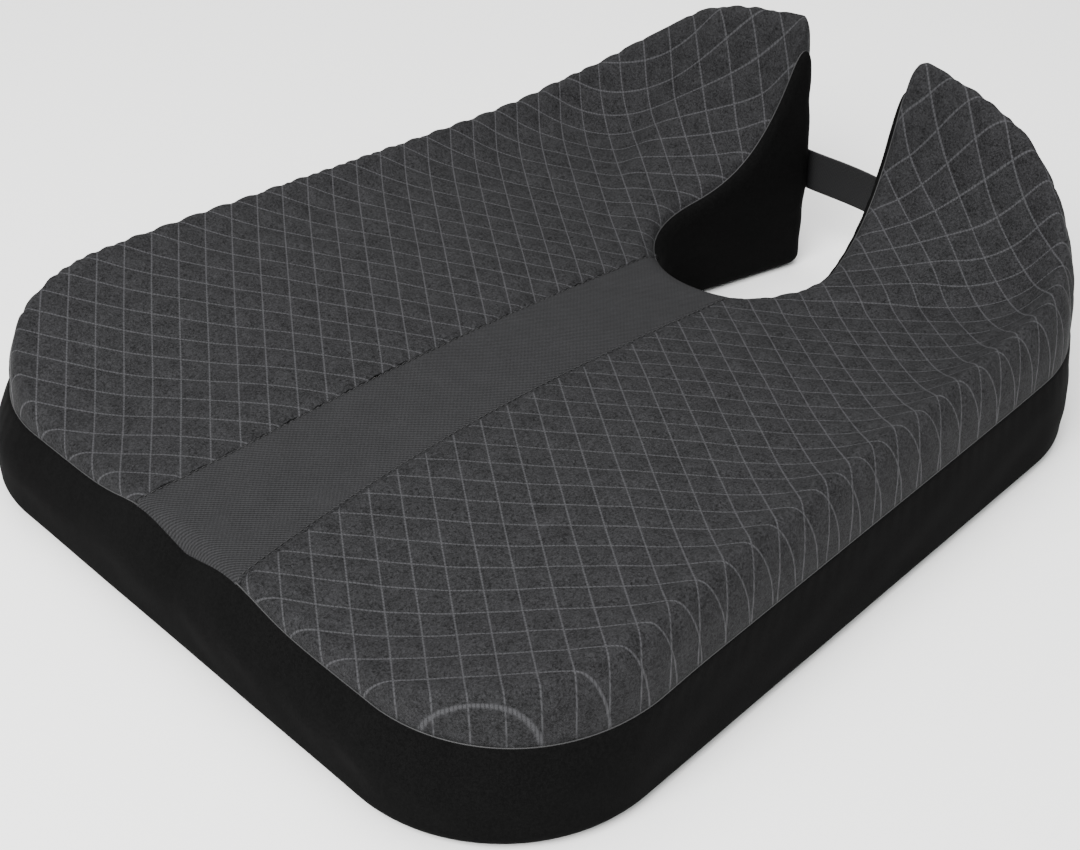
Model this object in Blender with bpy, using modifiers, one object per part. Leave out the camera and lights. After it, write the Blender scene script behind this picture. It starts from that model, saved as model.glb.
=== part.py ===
"""Contour seat cushion with a tailbone cut-out: foam core, sewn zip-off cover and carry strap.

Frame: +Z up, -Y is the front edge, the cut-out opens towards +Y. The origin is the middle of
the footprint at floor level. Units are metres. The cushion is symmetric about X = 0.
"""
import math

import bmesh
import bpy
import numpy as np
from mathutils.kdtree import KDTree

# ---------------------------------------------------------------- driving dimensions
DEPTH = 0.448             # front edge to the back of the hip wings
FRONT_WIDTH = 0.390       # widest, just behind the front corners
REAR_WIDTH = 0.350        # across the wings, where the rear corners start
FRONT_CORNER = 0.076      # plan radii of the outline
REAR_CORNER = 0.072
TIP_CORNER = 0.014
CUTOUT_RADIUS = 0.045     # round end of the tailbone cut-out
CUTOUT_CENTRE = 0.361     # its centre, behind the front edge
MOUTH_HALF = 0.037        # half width of the cut-out where it opens at the back
SEAM_INSET = (0.010, 0.002, 0.005)   # top seam inside the outline: front, side, rear

SEAT_FRONT = 0.056        # height of the seat along its middle, at the two ends
SEAT_CROWN = 0.008        # extra height half way along
DISH_SLOPE = 0.10         # rise of the seat towards each side
THIGH_DIP = 0.010         # depth of the two thigh hollows at the front
SIDE_CREST = 0.088        # top of the rolled edge along the sides
WING_RISE = 0.066         # how far the wing tips stand above that
WING_MIDDLE = 0.103       # distance from the tip at which half that rise is left
WING_SPREAD = 0.027
CREST_INSET = 0.019       # crest line inside the seam, along the sides
TIP_INSET = 0.008         # the same at the wing tips
RIM_ROUND = 0.010         # rounding of the cut-out's rim, and how far its seam sits lower
RIM_DROP = 0.0055

COVER = 0.0014            # thickness of the knitted cover
GAP = 0.0003              # clearance between touching pieces
FOOT_ROUND = 0.010        # rounding where the wall turns under
FOOT_CLEAR = 0.0006       # the wall's lower edge stays this far above the floor
BAND_HALF = 0.028         # half width of the plain centre band
BAND_FLARE = 0.0085       # extra half width of the band at the front edge

ZIP_BEHIND_FRONT = 0.107  # zip line behind the front edge
ZIP_HALF = 0.163          # half length of the zip well
WELL_HALF = 0.0115        # half width of the zip well
WELL_TOP = 0.0135         # ceiling of the well in the foam
TAPE_Z = 0.0102           # underside of the zip tape
TAPE = 0.0007             # tape thickness
SLOT = 0.0007             # half slot between the two rows of teeth
TEETH_HALF = 0.0030       # outer edge of the teeth
SLIDER_X = 0.138          # slider at its closed end

STRAP_HEIGHT = 0.023      # webbing width, carried upright
STRAP_FOOT = 0.0455       # its lower edge above the floor
STRAP_THICK = 0.0020
STRAP_HALF = 0.092        # half of its sewn length

# Rows of the panel grids: across the seat, along band and side, around the cut-out.
ACROSS = 10
ALONG = 24
CUT_ROWS = 7
MIDDLE = 2

SHIFT_Y = -(DEPTH + STRAP_THICK + GAP) / 2   # puts the middle of the footprint at Y = 0

FABRIC_PANEL = (0.030, 0.030, 0.033)
FABRIC_BAND = (0.045, 0.045, 0.048)
FABRIC_WALL = (0.016, 0.016, 0.018)
FABRIC_BASE = (0.012, 0.012, 0.013)
FOAM = (0.86, 0.83, 0.76)
NYLON = (0.014, 0.014, 0.015)
METAL = (0.045, 0.045, 0.048)
WEBBING = (0.050, 0.050, 0.053)


# ---------------------------------------------------------------- plan outline
def arc(centre_x, centre_y, radius, start, end, count):
    """Points on a circular arc, angles in degrees."""
    turn = np.radians(np.linspace(start, end, count))
    return np.stack([centre_x + radius * np.cos(turn), centre_y + radius * np.sin(turn)], 1)


def line(start, end, count):
    """Points on a straight run without its two ends."""
    step = np.linspace(0, 1, count + 2)[1:-1, None]
    return np.array(start) * (1 - step) + np.array(end) * step


def outline(front, side, rear):
    """Right half of the outline, front centre to the bottom of the cut-out, inset by the three
    amounts. Every call gives the same number of points, so outlines match point for point."""
    half_front = FRONT_WIDTH / 2 - side
    half_rear = REAR_WIDTH / 2 - side
    back = DEPTH - rear
    runs = [
        np.array([[0.0, front]]),
        arc(half_front - FRONT_CORNER, front + FRONT_CORNER, FRONT_CORNER, -90, 4, 40),
        arc(half_rear - REAR_CORNER, back - REAR_CORNER, REAR_CORNER, 4, 90, 40),
        arc(MOUTH_HALF + TIP_CORNER, back - TIP_CORNER, TIP_CORNER, 90, 176, 20),
        arc(0, CUTOUT_CENTRE, CUTOUT_RADIUS, 6, -90, 60),
    ]
    points = [runs[0]]
    for run in runs[1:]:
        points.append(line(points[-1][-1], run[0], 60))
        points.append(run)
    return np.concatenate(points)


def lengths(points):
    """Running length along a polyline."""
    return np.concatenate([[0], np.cumsum(np.linalg.norm(np.diff(points, axis=0), axis=1))])


def inward_of(points):
    """Unit normals of an outline that runs anticlockwise, pointing into the cushion."""
    along = np.gradient(points, axis=0)
    inward = np.stack([-along[:, 1], along[:, 0]], 1)
    return inward / np.linalg.norm(inward, axis=1)[:, None]


def nearest(points, poly):
    """Distance from each point to a polyline, and the fractional index of the nearest place."""
    gap = np.linalg.norm(points[:, None] - poly[None], axis=2)
    close = np.clip(gap.argmin(1), 1, len(poly) - 2)
    found = []
    for start in (close - 1, close):
        run = poly[start + 1] - poly[start]
        along = ((points - poly[start]) * run).sum(1) / (run * run).sum(1)
        along = np.clip(along, 0, 1)
        foot = poly[start] + run * along[:, None]
        found.append((np.linalg.norm(points - foot, axis=1), start + along))
    first = found[0][0] < found[1][0]
    return np.where(first, found[0][0], found[1][0]), np.where(first, found[0][1], found[1][1])


def at(values, positions):
    """Values at fractional indices."""
    return np.interp(positions, np.arange(len(values)), values)


def smooth(low, high, value):
    """Goes from 0 to 1 between two values without a corner."""
    t = np.clip((value - low) / (high - low), 0, 1)
    return t * t * (3 - 2 * t)


BASE = outline(0, 0, 0)
SEAM = outline(*SEAM_INSET)
TIP_AIM = (MOUTH_HALF + TIP_CORNER * 0.3, DEPTH - SEAM_INSET[2] - TIP_CORNER * 0.3)
TIP_MIDDLE = int(nearest(np.array([TIP_AIM]), SEAM)[1][0])
OUTER = SEAM[:TIP_MIDDLE + 1]
FROM_TIP = lengths(OUTER)[-1] - lengths(OUTER)


# ---------------------------------------------------------------- heights
def crest_height(from_tip):
    """Top of the rolled edge: level along the side, rising in an S curve to the wing tip."""
    return SIDE_CREST + WING_RISE / (1 + np.exp((from_tip - WING_MIDDLE) / WING_SPREAD))


def seam_height(from_tip, x, y):
    """Top seam: follows the seat along the front edge, a finger below the crest elsewhere."""
    front = 0.0455 + 0.0075 * np.exp(-((x - 0.030) / 0.026) ** 2)
    side = 0.049 + 0.079 / (1 + np.exp((from_tip - 0.068) / 0.027))
    share = smooth(0.012, 0.12, y)
    return front * (1 - share) + side * share


def seat_height(x, y):
    """Dished seat without its rolled edge."""
    height = SEAT_FRONT + SEAT_CROWN * np.sin(np.pi * np.clip((y - 0.01) / 0.314, 0, 1))
    height = height + DISH_SLOPE * np.maximum(x - 0.03, 0)
    dip = THIGH_DIP * np.exp(-((x - 0.10) / 0.045) ** 2) * (1 - smooth(0.01, 0.15, y))
    return height - dip


def crest_inset(from_tip):
    return TIP_INSET + (CREST_INSET - TIP_INSET) * smooth(0.005, 0.065, from_tip)


def body_height(points):
    """Height before the edges are rounded over: the seat, with the rolled edge fading into it."""
    away, place = nearest(points, OUTER)
    from_tip = at(FROM_TIP, place)
    seat = seat_height(points[:, 0], points[:, 1])
    fade = 0.015 + 0.009 * (1 - smooth(0.06, 0.18, from_tip))
    rise = np.maximum(crest_height(from_tip) - seat, 0)
    rise = rise * smooth(0.005, 0.13, at(OUTER[:, 1], place))
    return seat + rise * np.exp(-np.maximum(away - crest_inset(from_tip), 0) / fade)


BEYOND_TIP = lengths(SEAM) - lengths(SEAM)[TIP_MIDDLE]
TO_CUT = smooth(-0.008, 0.014, BEYOND_TIP)
SEAM_FROM_TIP = np.maximum(-BEYOND_TIP, 0)
OUTER_SEAM_Z = seam_height(SEAM_FROM_TIP, SEAM[:, 0], SEAM[:, 1])
OUTER_REACH = crest_inset(SEAM_FROM_TIP) * (0.55 + 0.45 * smooth(0.005, 0.13, SEAM[:, 1]))
SEAM_Z = OUTER_SEAM_Z * (1 - TO_CUT) + (body_height(SEAM) - RIM_DROP) * TO_CUT
REACH = OUTER_REACH * (1 - TO_CUT) + RIM_ROUND * TO_CUT


def top_height(x, y):
    """Height of the cover's top. It rounds over to the seam all round, wider along the rolled
    edge than at the rim of the cut-out."""
    points = np.stack([np.abs(x), y], 1)
    away, place = nearest(points, SEAM)
    seam = at(SEAM_Z, place)
    inside = np.clip(1 - away / at(REACH, place), 0, 1)
    return seam + (body_height(points) - seam) * np.sqrt(1 - inside ** 2.2)


# ---------------------------------------------------------------- grids of the cover
def pick(points, positions):
    """Points at fractional positions along a list of points."""
    index = np.arange(len(points))
    return np.stack([np.interp(positions, index, points[:, k]) for k in (0, 1)], 1)


def spaced(first, last, count, ease=1.0):
    """Fractional positions between two places on the seam, spaced evenly by length, or closer
    together towards the last one (ease over 1) or the first one (ease under -1)."""
    run = lengths(SEAM)
    step = np.linspace(0, 1, count + 1)
    step = 1 - (1 - step) ** ease if ease > 0 else step ** -ease
    start, end = at(run, np.array([first, last]))
    return np.interp(start + (end - start) * step, run, np.arange(len(run)))


def band_half(y):
    return BAND_HALF + BAND_FLARE * np.exp(-(y - 0.01) / 0.06)


def edge_positions():
    """Positions of the grid's edge points along the half seam, run by run."""
    band_front = np.interp(band_half(SEAM_INSET[0]), SEAM[:60, 0], np.arange(60))
    corner = 61 + 20
    tip_start = 61 + 40 + 60 + 40 + 60 + 2
    tip_end = tip_start + 16
    at_cut = nearest(np.array([[BAND_HALF, CUTOUT_CENTRE - 0.035]]), SEAM)[1][0]
    return [spaced(0, band_front, MIDDLE), spaced(band_front, corner, ACROSS),
            spaced(corner, tip_start, ALONG, 1.2), spaced(tip_start, tip_end, ACROSS),
            spaced(tip_end, at_cut, CUT_ROWS, -1.4), spaced(at_cut, len(SEAM) - 1, MIDDLE)]


EDGE = edge_positions()
HALF_LOOP = np.concatenate([run[:-1] for run in EDGE] + [EDGE[-1][-1:]])
WALL_SPLIT = MIDDLE + ACROSS + ALONG + ACROSS // 2


def patch(left, right, front, back):
    """Plan grid between four edges: straight rulings both ways, less the bilinear corner term."""
    t = np.linspace(0, 1, len(left))[:, None, None]
    s = np.linspace(0, 1, len(front))[None, :, None]
    ruled = (1 - s) * left[:, None] + s * right[:, None]
    ruled = ruled + (1 - t) * front[None] + t * back[None]
    corners = (1 - s) * (1 - t) * left[0] + s * (1 - t) * right[0]
    corners = corners + (1 - s) * t * left[-1] + s * t * right[-1]
    return ruled - corners


def raised(plan):
    """Lifts a plan grid to the height of the cover."""
    flat = plan.reshape(-1, 2)
    height = top_height(flat[:, 0], flat[:, 1])
    return np.column_stack([flat, height]).reshape(plan.shape[:-1] + (3,))


def band_edge():
    """Right edge of the centre band, front seam to the cut-out."""
    start = pick(SEAM, EDGE[0])[-1]
    end = pick(SEAM, EDGE[5])[0]
    rows = ALONG - CUT_ROWS
    y = np.linspace(start[1], end[1], rows + 1)
    x = band_half(y)
    x[0] = start[0]
    x[-1] = end[0]
    return np.stack([x, y], 1)


def panel_grid():
    """Right top panel, rows from front to wing tip, columns from band or cut-out to the side."""
    cut = pick(SEAM, EDGE[4])[::-1]
    left = np.concatenate([band_edge(), cut[1:]])
    right = pick(SEAM, EDGE[2])
    front = pick(SEAM, EDGE[1])
    back = pick(SEAM, EDGE[3])[::-1]
    plan = patch(left, right, front, back)
    crowd = np.linspace(0, 1, ACROSS + 1)
    pull = np.interp(crowd, [0, 0.5, 0.8, 1], [0, 0.62, 0.90, 1])
    rows = np.arange(ALONG + 1)
    share = np.clip(np.minimum(rows / 3, (ALONG - rows) / 3), 0, 1)[:, None]
    places = crowd[None] * (1 - share) + pull[None] * share
    for row in rows:
        for axis in (0, 1):
            plan[row, :, axis] = np.interp(places[row], crowd, plan[row, :, axis].copy())
    return raised(plan)


def band_grid():
    """Centre band, rows from front to the cut-out, columns from left to right."""
    edge = band_edge()
    front = pick(SEAM, EDGE[0])
    back = pick(SEAM, EDGE[5])[::-1]
    front = np.concatenate([front[:0:-1] * [-1, 1], front])
    back = np.concatenate([back[:0:-1] * [-1, 1], back])
    return raised(patch(edge * [-1, 1], edge, front, back))


def wall_grid():
    """Whole wall: columns round the half loop, rows from the top seam to the foot.

    The wall leaves the seam, swells out to the outline in a quarter sine by two thirds of the
    way down, and turns under in a quarter circle."""
    seam = pick(SEAM, HALF_LOOP)
    base = pick(BASE, HALF_LOOP)
    top = top_height(seam[:, 0], seam[:, 1])
    inward = pick(inward_of(BASE), HALF_LOOP)
    inward[0] = (0, 1)
    inward[-1] = (0, -1)
    rows = []
    for down in (0.0, 0.2, 0.42, 0.66, 0.88):
        out = math.sin(math.pi / 2 * min(down / 0.66, 1))
        z = top + (FOOT_ROUND - top) * down
        rows.append(np.column_stack([seam + (base - seam) * out, z]))
    for turn in (0.0, 30.0, 60.0, 90.0):
        in_by = FOOT_ROUND * (1 - math.cos(math.radians(turn)))
        z = FOOT_ROUND - (FOOT_ROUND - FOOT_CLEAR) * math.sin(math.radians(turn))
        rows.append(np.column_stack([base + inward * in_by, np.full(len(base), z)]))
    return np.array(rows)


def mirrored(grid):
    return grid[:, ::-1] * [-1, 1, 1]


PANEL = panel_grid()
BAND = band_grid()
WALL = wall_grid()
LOOP = np.concatenate([WALL, (WALL[:, ::-1] * [-1, 1, 1])[:, 1:-1]], axis=1)


# ---------------------------------------------------------------- mesh helpers
def new_object(name, mesh, collection, colour, roughness, metallic=0.0):
    material = bpy.data.materials.new(name)
    material.use_nodes = True
    shader = material.node_tree.nodes["Principled BSDF"]
    shader.inputs["Base Color"].default_value = (*colour, 1)
    shader.inputs["Roughness"].default_value = roughness
    shader.inputs["Metallic"].default_value = metallic
    mesh.materials.append(material)
    item = bpy.data.objects.new(name, mesh)
    collection.objects.link(item)
    return item


def sheet_faces(rows, columns, start=0, closed=False):
    """Triangles of a grid whose points are numbered row by row. Every layer of the cover and the
    foam splits its cells along the same diagonal, so the layers stay parallel."""
    wrap = columns if closed else columns - 1
    faces = []
    for row in range(rows - 1):
        for column in range(wrap):
            near = start + row * columns + column
            beside = start + row * columns + (column + 1) % columns
            faces.append((near, beside, beside + columns))
            faces.append((near, beside + columns, near + columns))
    return faces


def skin_mesh():
    """The cover's outer surface as one closed mesh: top grids, wall, and the flat underside."""
    data = bmesh.new()
    for grid, closed in ((PANEL, False), (mirrored(PANEL), False), (BAND, False), (LOOP, True)):
        rows, columns = grid.shape[:2]
        points = [data.verts.new(point) for point in (grid + [0, SHIFT_Y, 0]).reshape(-1, 3)]
        for face in sheet_faces(rows, columns, 0, closed):
            data.faces.new([points[k] for k in face])
        if closed:
            data.faces.new(points[-columns:])
    bmesh.ops.remove_doubles(data, verts=data.verts, dist=0.00005)
    bmesh.ops.recalc_face_normals(data, faces=data.faces)
    data.normal_update()
    return data


def outward_of(data):
    """For each corner, the step that moves every face around it out by one unit, as nearly as one
    step can: least squares over the faces' normals. It keeps offset layers parallel."""
    steps = []
    for vert in data.verts:
        normals = np.array([face.normal[:] for face in vert.link_faces])
        square = normals.T @ normals + 0.002 * np.eye(3)
        step = np.linalg.solve(square, normals.sum(0))
        steps.append(step * min(1, 1.8 / np.linalg.norm(step)))
    return np.array(steps)


def shell(name, grid, normals, collection, colour, roughness, trim=GAP):
    """A piece of the cover: the grid and the same grid one thickness further in, closed round
    its rim. The rim is trimmed back, so neighbouring pieces don't touch."""
    outer = grid.copy()
    for end, beside in ((0, 1), (-1, -2)):
        step = grid[beside] - grid[end]
        outer[end] += step * (trim / np.linalg.norm(step, axis=-1))[..., None]
        step = grid[:, beside] - grid[:, end]
        outer[:, end] += step * (trim / np.linalg.norm(step, axis=-1))[..., None]
    inner = outer - normals * COVER
    rows, columns = grid.shape[:2]
    points = np.concatenate([outer.reshape(-1, 3), inner.reshape(-1, 3)])
    layer = rows * columns
    faces = sheet_faces(rows, columns)
    faces += [face[::-1] for face in sheet_faces(rows, columns, layer)]
    ring = [(0, c) for c in range(columns)] + [(r, columns - 1) for r in range(1, rows)]
    ring += [(rows - 1, c) for c in range(columns - 2, -1, -1)]
    ring += [(r, 0) for r in range(rows - 2, 0, -1)]
    ring = [r * columns + c for r, c in ring]
    for here, there in zip(ring, ring[1:] + ring[:1]):
        faces.append((there, here, here + layer, there + layer))
    mesh = bpy.data.meshes.new(name)
    mesh.from_pydata(points.tolist(), [], faces)
    data = bmesh.new()
    data.from_mesh(mesh)
    bmesh.ops.recalc_face_normals(data, faces=data.faces)
    data.to_mesh(mesh)
    data.free()
    mesh.shade_smooth()
    return new_object(name, mesh, collection, colour, roughness)


def plate(name, points, low, high, collection, colour, roughness):
    """A flat piece of cloth: a filled outline in X and Y, extruded between two heights."""
    curve = bpy.data.curves.new(name, "CURVE")
    curve.dimensions = "2D"
    curve.fill_mode = "BOTH"
    curve.extrude = (high - low) / 2
    spline = curve.splines.new("POLY")
    spline.points.add(len(points) - 1)
    for corner, (x, y) in zip(spline.points, points):
        corner.co = (x, y, 0, 1)
    spline.use_cyclic_u = True
    item = new_object(name, curve, collection, colour, roughness)
    item.location = (0, 0, (low + high) / 2)
    return item


def block(name, low, high, collection, colour=NYLON, roughness=0.5, metallic=0.0, bevel=0.0):
    """A box between two corners, its origin in its middle, with its edges rounded."""
    size = np.array(high) - np.array(low)
    data = bmesh.new()
    bmesh.ops.create_cube(data, size=1)
    bmesh.ops.scale(data, vec=size, verts=data.verts)
    mesh = bpy.data.meshes.new(name)
    data.to_mesh(mesh)
    data.free()
    item = new_object(name, mesh, collection, colour, roughness, metallic)
    item.location = (np.array(high) + np.array(low)) / 2
    if bevel:
        rounding = item.modifiers.new("rounding", "BEVEL")
        rounding.width = bevel
        rounding.segments = 2
    return item


def boolean(item, other, operation):
    """Adds a Boolean, and makes its second shape a guide that isn't part of the model."""
    step = item.modifiers.new(other.name, "BOOLEAN")
    step.operation = operation
    step.object = other
    other.hide_render = True
    other.display_type = "WIRE"


# ---------------------------------------------------------------- soft pieces
def build_cover(parts):
    """The five sewn pieces of the cover that show, all lying on the one outer surface."""
    skin = skin_mesh()
    outward = outward_of(skin)
    tree = KDTree(len(skin.verts))
    for vert in skin.verts:
        tree.insert(vert.co, vert.index)
    tree.balance()

    def normals_of(grid):
        found = [tree.find(point)[1] for point in grid.reshape(-1, 3)]
        return outward[found].reshape(grid.shape)

    shift = np.array([0, SHIFT_Y, 0])
    right = PANEL + shift
    left = mirrored(PANEL) + shift
    band = BAND + shift
    shell("top_panel_right", right, normals_of(right), parts, FABRIC_PANEL, 0.85)
    shell("top_panel_left", left, normals_of(left), parts, FABRIC_PANEL, 0.85)
    shell("centre_band", band, normals_of(band), parts, FABRIC_BAND, 0.9)
    count = LOOP.shape[1]
    ring = LOOP + shift
    columns = np.arange(-WALL_SPLIT, WALL_SPLIT + 1) % count
    outer = ring[:, columns]
    shell("outer_wall", outer, normals_of(outer), parts, FABRIC_WALL, 0.8, 1.7 * GAP)
    columns = np.arange(WALL_SPLIT, count - WALL_SPLIT + 1)
    inner = ring[:, columns]
    shell("cutout_wall", inner, normals_of(inner), parts, FABRIC_WALL, 0.8, 1.7 * GAP)
    return skin, outward


def build_foam(skin, outward, parts, cutters):
    """The moulded core: the cover's outer surface moved in by the cover and a clearance, with a
    channel along the underside for the zip."""
    depth = COVER + 2 * GAP
    moved = np.array([vert.co[:] for vert in skin.verts]) - outward * depth
    for vert, place in zip(skin.verts, moved):
        flat = vert.co.z < FOOT_CLEAR + 0.00001
        vert.co = place
        if flat:
            vert.co.z = depth
    mesh = bpy.data.meshes.new("foam_core")
    skin.to_mesh(mesh)
    skin.free()
    foam = new_object("foam_core", mesh, parts, FOAM, 0.9)
    zip_y = SHIFT_Y + ZIP_BEHIND_FRONT
    channel = block("zip_channel", (-ZIP_HALF - GAP, zip_y - WELL_HALF - GAP, -0.01),
                    (ZIP_HALF + GAP, zip_y + WELL_HALF + GAP, WELL_TOP), cutters)
    boolean(foam, channel, "DIFFERENCE")


def build_base(parts):
    """The underside in two pieces, which meet at the zip and are sewn together beyond it."""
    inward = pick(inward_of(BASE), HALF_LOOP)
    inward[0] = (0, 1)
    inward[-1] = (0, -1)
    edge = WALL[-1][:, :2] + inward * GAP + [0, SHIFT_Y]
    zip_y = SHIFT_Y + ZIP_BEHIND_FRONT
    ahead = [point for point in edge if point[1] < zip_y - 0.004]
    behind = [point for point in edge if point[1] > zip_y + 0.004]
    side_x = np.interp(zip_y, [ahead[-1][1], behind[0][1]], [ahead[-1][0], behind[0][0]])
    for name, right_half, sign in (("base_front", ahead, -1), ("base_rear", behind, 1)):
        seam = zip_y + sign * GAP / 2
        well = zip_y + sign * WELL_HALF
        step = [(side_x, seam), (ZIP_HALF, seam), (ZIP_HALF, well)]
        run = [tuple(point) for point in right_half]
        run = run + step if sign < 0 else step[::-1] + run
        other = [(-x, y) for x, y in run[::-1] if abs(x) > 0.0001]
        points = run + other
        plate(name, points, 0.0, COVER, parts, FABRIC_BASE, 0.75)


# ---------------------------------------------------------------- zip
def build_zip(parts, cutters):
    zip_y = SHIFT_Y + ZIP_BEHIND_FRONT
    tape_end = ZIP_HALF - GAP
    teeth_end = SLIDER_X + 0.0055
    for name, sign in (("front", -1), ("rear", 1)):
        def across(low, high):
            return sorted((zip_y + sign * low, zip_y + sign * high))
        near, far = across(SLOT, WELL_HALF - GAP)
        tape = block("zip_tape_" + name, (-tape_end, near, TAPE_Z),
                     (tape_end, far, TAPE_Z + TAPE), parts, roughness=0.8)
        near, far = across(WELL_HALF - GAP - TAPE, WELL_HALF - GAP)
        fold = block("zip_fold_" + name, (-tape_end, near, GAP),
                     (tape_end, far, TAPE_Z + TAPE / 2), cutters)
        boolean(tape, fold, "UNION")
        near, far = across(SLOT, TEETH_HALF)
        block("zip_teeth_" + name, (-SLIDER_X + 0.002, near, TAPE_Z - 0.0022),
              (SLIDER_X - 0.003, far, TAPE_Z - GAP), parts, roughness=0.35)
        block("zip_top_stop_" + name, (teeth_end, near, TAPE_Z - 0.0022),
              (teeth_end + 0.0025, far, TAPE_Z - GAP), parts, METAL, 0.35, 1.0, 0.0003)
    block("zip_bottom_stop", (-SLIDER_X + 0.002 - GAP - 0.003, zip_y - TEETH_HALF, TAPE_Z - 0.0022),
          (-SLIDER_X + 0.002 - GAP, zip_y + TEETH_HALF, TAPE_Z - GAP), parts, METAL, 0.35, 1.0, 0.0003)


def build_slider(parts, cutters):
    """Slider: lower wing with side flanges, upper wing, the post between the rows of teeth, and
    the bridge that traps the pull. The pull hangs on a cross bar under the bridge."""
    zip_y = SHIFT_Y + ZIP_BEHIND_FRONT
    length = 0.0045
    wing_top = TAPE_Z - 0.0022 - GAP
    wing_low = wing_top - 0.0016

    def piece(name, x0, x1, half, z0, z1, bevel=0.0):
        return block(name, (SLIDER_X + x0, zip_y - half, z0),
                     (SLIDER_X + x1, zip_y + half, z1), cutters, bevel=bevel)

    slider = block("zip_slider", (SLIDER_X - length, zip_y - 0.0044, wing_low),
                   (SLIDER_X + length, zip_y + 0.0044, wing_top), parts, METAL, 0.3, 1.0, 0.0004)
    boolean(slider, piece("slider_post", -0.0020, 0.0025, SLOT - GAP, wing_top - 0.0003,
                          TAPE_Z + TAPE + 0.0008), "UNION")
    boolean(slider, piece("slider_upper", -length, length, 0.0034, TAPE_Z + TAPE + GAP,
                          TAPE_Z + TAPE + GAP + 0.0012, 0.0003), "UNION")
    for side in (-1, 1):
        flange = block("slider_flange_%d" % (side + 1),
                       (SLIDER_X - length, zip_y + side * 0.0038 - 0.0005, wing_top - 0.0003),
                       (SLIDER_X + length, zip_y + side * 0.0038 + 0.0005, TAPE_Z - GAP), cutters)
        boolean(slider, flange, "UNION")
    bridge_low = wing_low - 0.0029
    for x0, x1 in ((-0.0034, -0.0022), (0.0022, 0.0034)):
        boolean(slider, piece("slider_leg_%d" % (x0 > 0), x0, x1, 0.0009, bridge_low + 0.0003,
                              wing_low + 0.0003), "UNION")
    boolean(slider, piece("slider_bridge", -0.0034, 0.0034, 0.0009, bridge_low,
                          bridge_low + 0.0010), "UNION")

    pivot_z = wing_low - 0.0009
    half_thick = 0.00055
    pull = block("zip_pull", (SLIDER_X - 0.0240, zip_y - 0.0032, pivot_z - half_thick),
                 (SLIDER_X - 0.0050, zip_y + 0.0032, pivot_z + half_thick), parts, METAL, 0.3, 1.0)
    pull.data.transform(pull.matrix_basis)
    pull.location = (SLIDER_X, zip_y, pivot_z)
    for vert in pull.data.vertices:
        vert.co -= pull.location
    for side in (-1, 1):
        arm = block("pull_arm_%d" % (side + 1),
                    (SLIDER_X - 0.0060, zip_y + side * 0.0019 - 0.0006, pivot_z - half_thick),
                    (SLIDER_X + half_thick, zip_y + side * 0.0019 + 0.0006, pivot_z + half_thick),
                    cutters)
        boolean(pull, arm, "UNION")
    boolean(pull, block("pull_bar", (SLIDER_X - half_thick, zip_y - 0.0022, pivot_z - half_thick),
                        (SLIDER_X + half_thick, zip_y + 0.0022, pivot_z + half_thick), cutters), "UNION")
    data = bmesh.new()
    bmesh.ops.create_cone(data, cap_ends=True, segments=16, radius1=0.0014, radius2=0.0014, depth=0.004)
    mesh = bpy.data.meshes.new("pull_hole")
    data.to_mesh(mesh)
    data.free()
    hole = new_object("pull_hole", mesh, cutters, METAL, 0.3)
    hole.location = (SLIDER_X - 0.0205, zip_y, pivot_z)
    boolean(pull, hole, "DIFFERENCE")


# ---------------------------------------------------------------- strap
def build_strap(parts):
    """Webbing carried upright across the mouth of the cut-out, its ends flat on the wings' backs."""
    back = DEPTH + SHIFT_Y + GAP
    block("carry_strap", (-STRAP_HALF, back, STRAP_FOOT),
          (STRAP_HALF, back + STRAP_THICK, STRAP_FOOT + STRAP_HEIGHT), parts, WEBBING, 0.85, 0.0, 0.0005)


def main():
    for item in list(bpy.data.objects):
        bpy.data.objects.remove(item, do_unlink=True)
    parts = bpy.data.collections.new("seat_cushion")
    cutters = bpy.data.collections.new("cutters")
    bpy.context.scene.collection.children.link(parts)
    bpy.context.scene.collection.children.link(cutters)
    skin, outward = build_cover(parts)
    build_foam(skin, outward, parts, cutters)
    build_base(parts)
    build_zip(parts, cutters)
    build_slider(parts, cutters)
    build_strap(parts)
    for item in cutters.objects:
        item.hide_render = True
        item.display_type = "WIRE"


main()
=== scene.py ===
"""Contour seat cushion: looks of the sewn knit cover, zip, webbing strap, floor, light and camera.

Run as a script in Blender 4.5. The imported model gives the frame, in metres: +Z up, the front edge
towards -Y, the cut-out towards +Y, symmetric about X = 0.
"""

import math

import bpy
import numpy as np
from mathutils import Matrix, Vector


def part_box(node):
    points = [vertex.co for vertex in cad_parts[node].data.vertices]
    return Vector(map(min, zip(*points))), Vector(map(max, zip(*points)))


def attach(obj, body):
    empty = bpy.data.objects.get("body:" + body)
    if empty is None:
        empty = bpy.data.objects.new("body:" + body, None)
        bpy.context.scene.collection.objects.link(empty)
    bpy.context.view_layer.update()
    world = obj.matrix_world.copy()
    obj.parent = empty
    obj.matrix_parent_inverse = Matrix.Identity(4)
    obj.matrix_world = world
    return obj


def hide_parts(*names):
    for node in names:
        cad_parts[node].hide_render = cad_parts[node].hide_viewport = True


bl_info = {
    "name": "Contour seat cushion",
    "version": (1, 0, 0),
    "blender": (4, 5, 0),
    "location": "3D View > Sidebar > Cushion",
    "description": "Builds a dished foam seat cushion in its quilted knit cover",
    "category": "Object",
}

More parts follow.
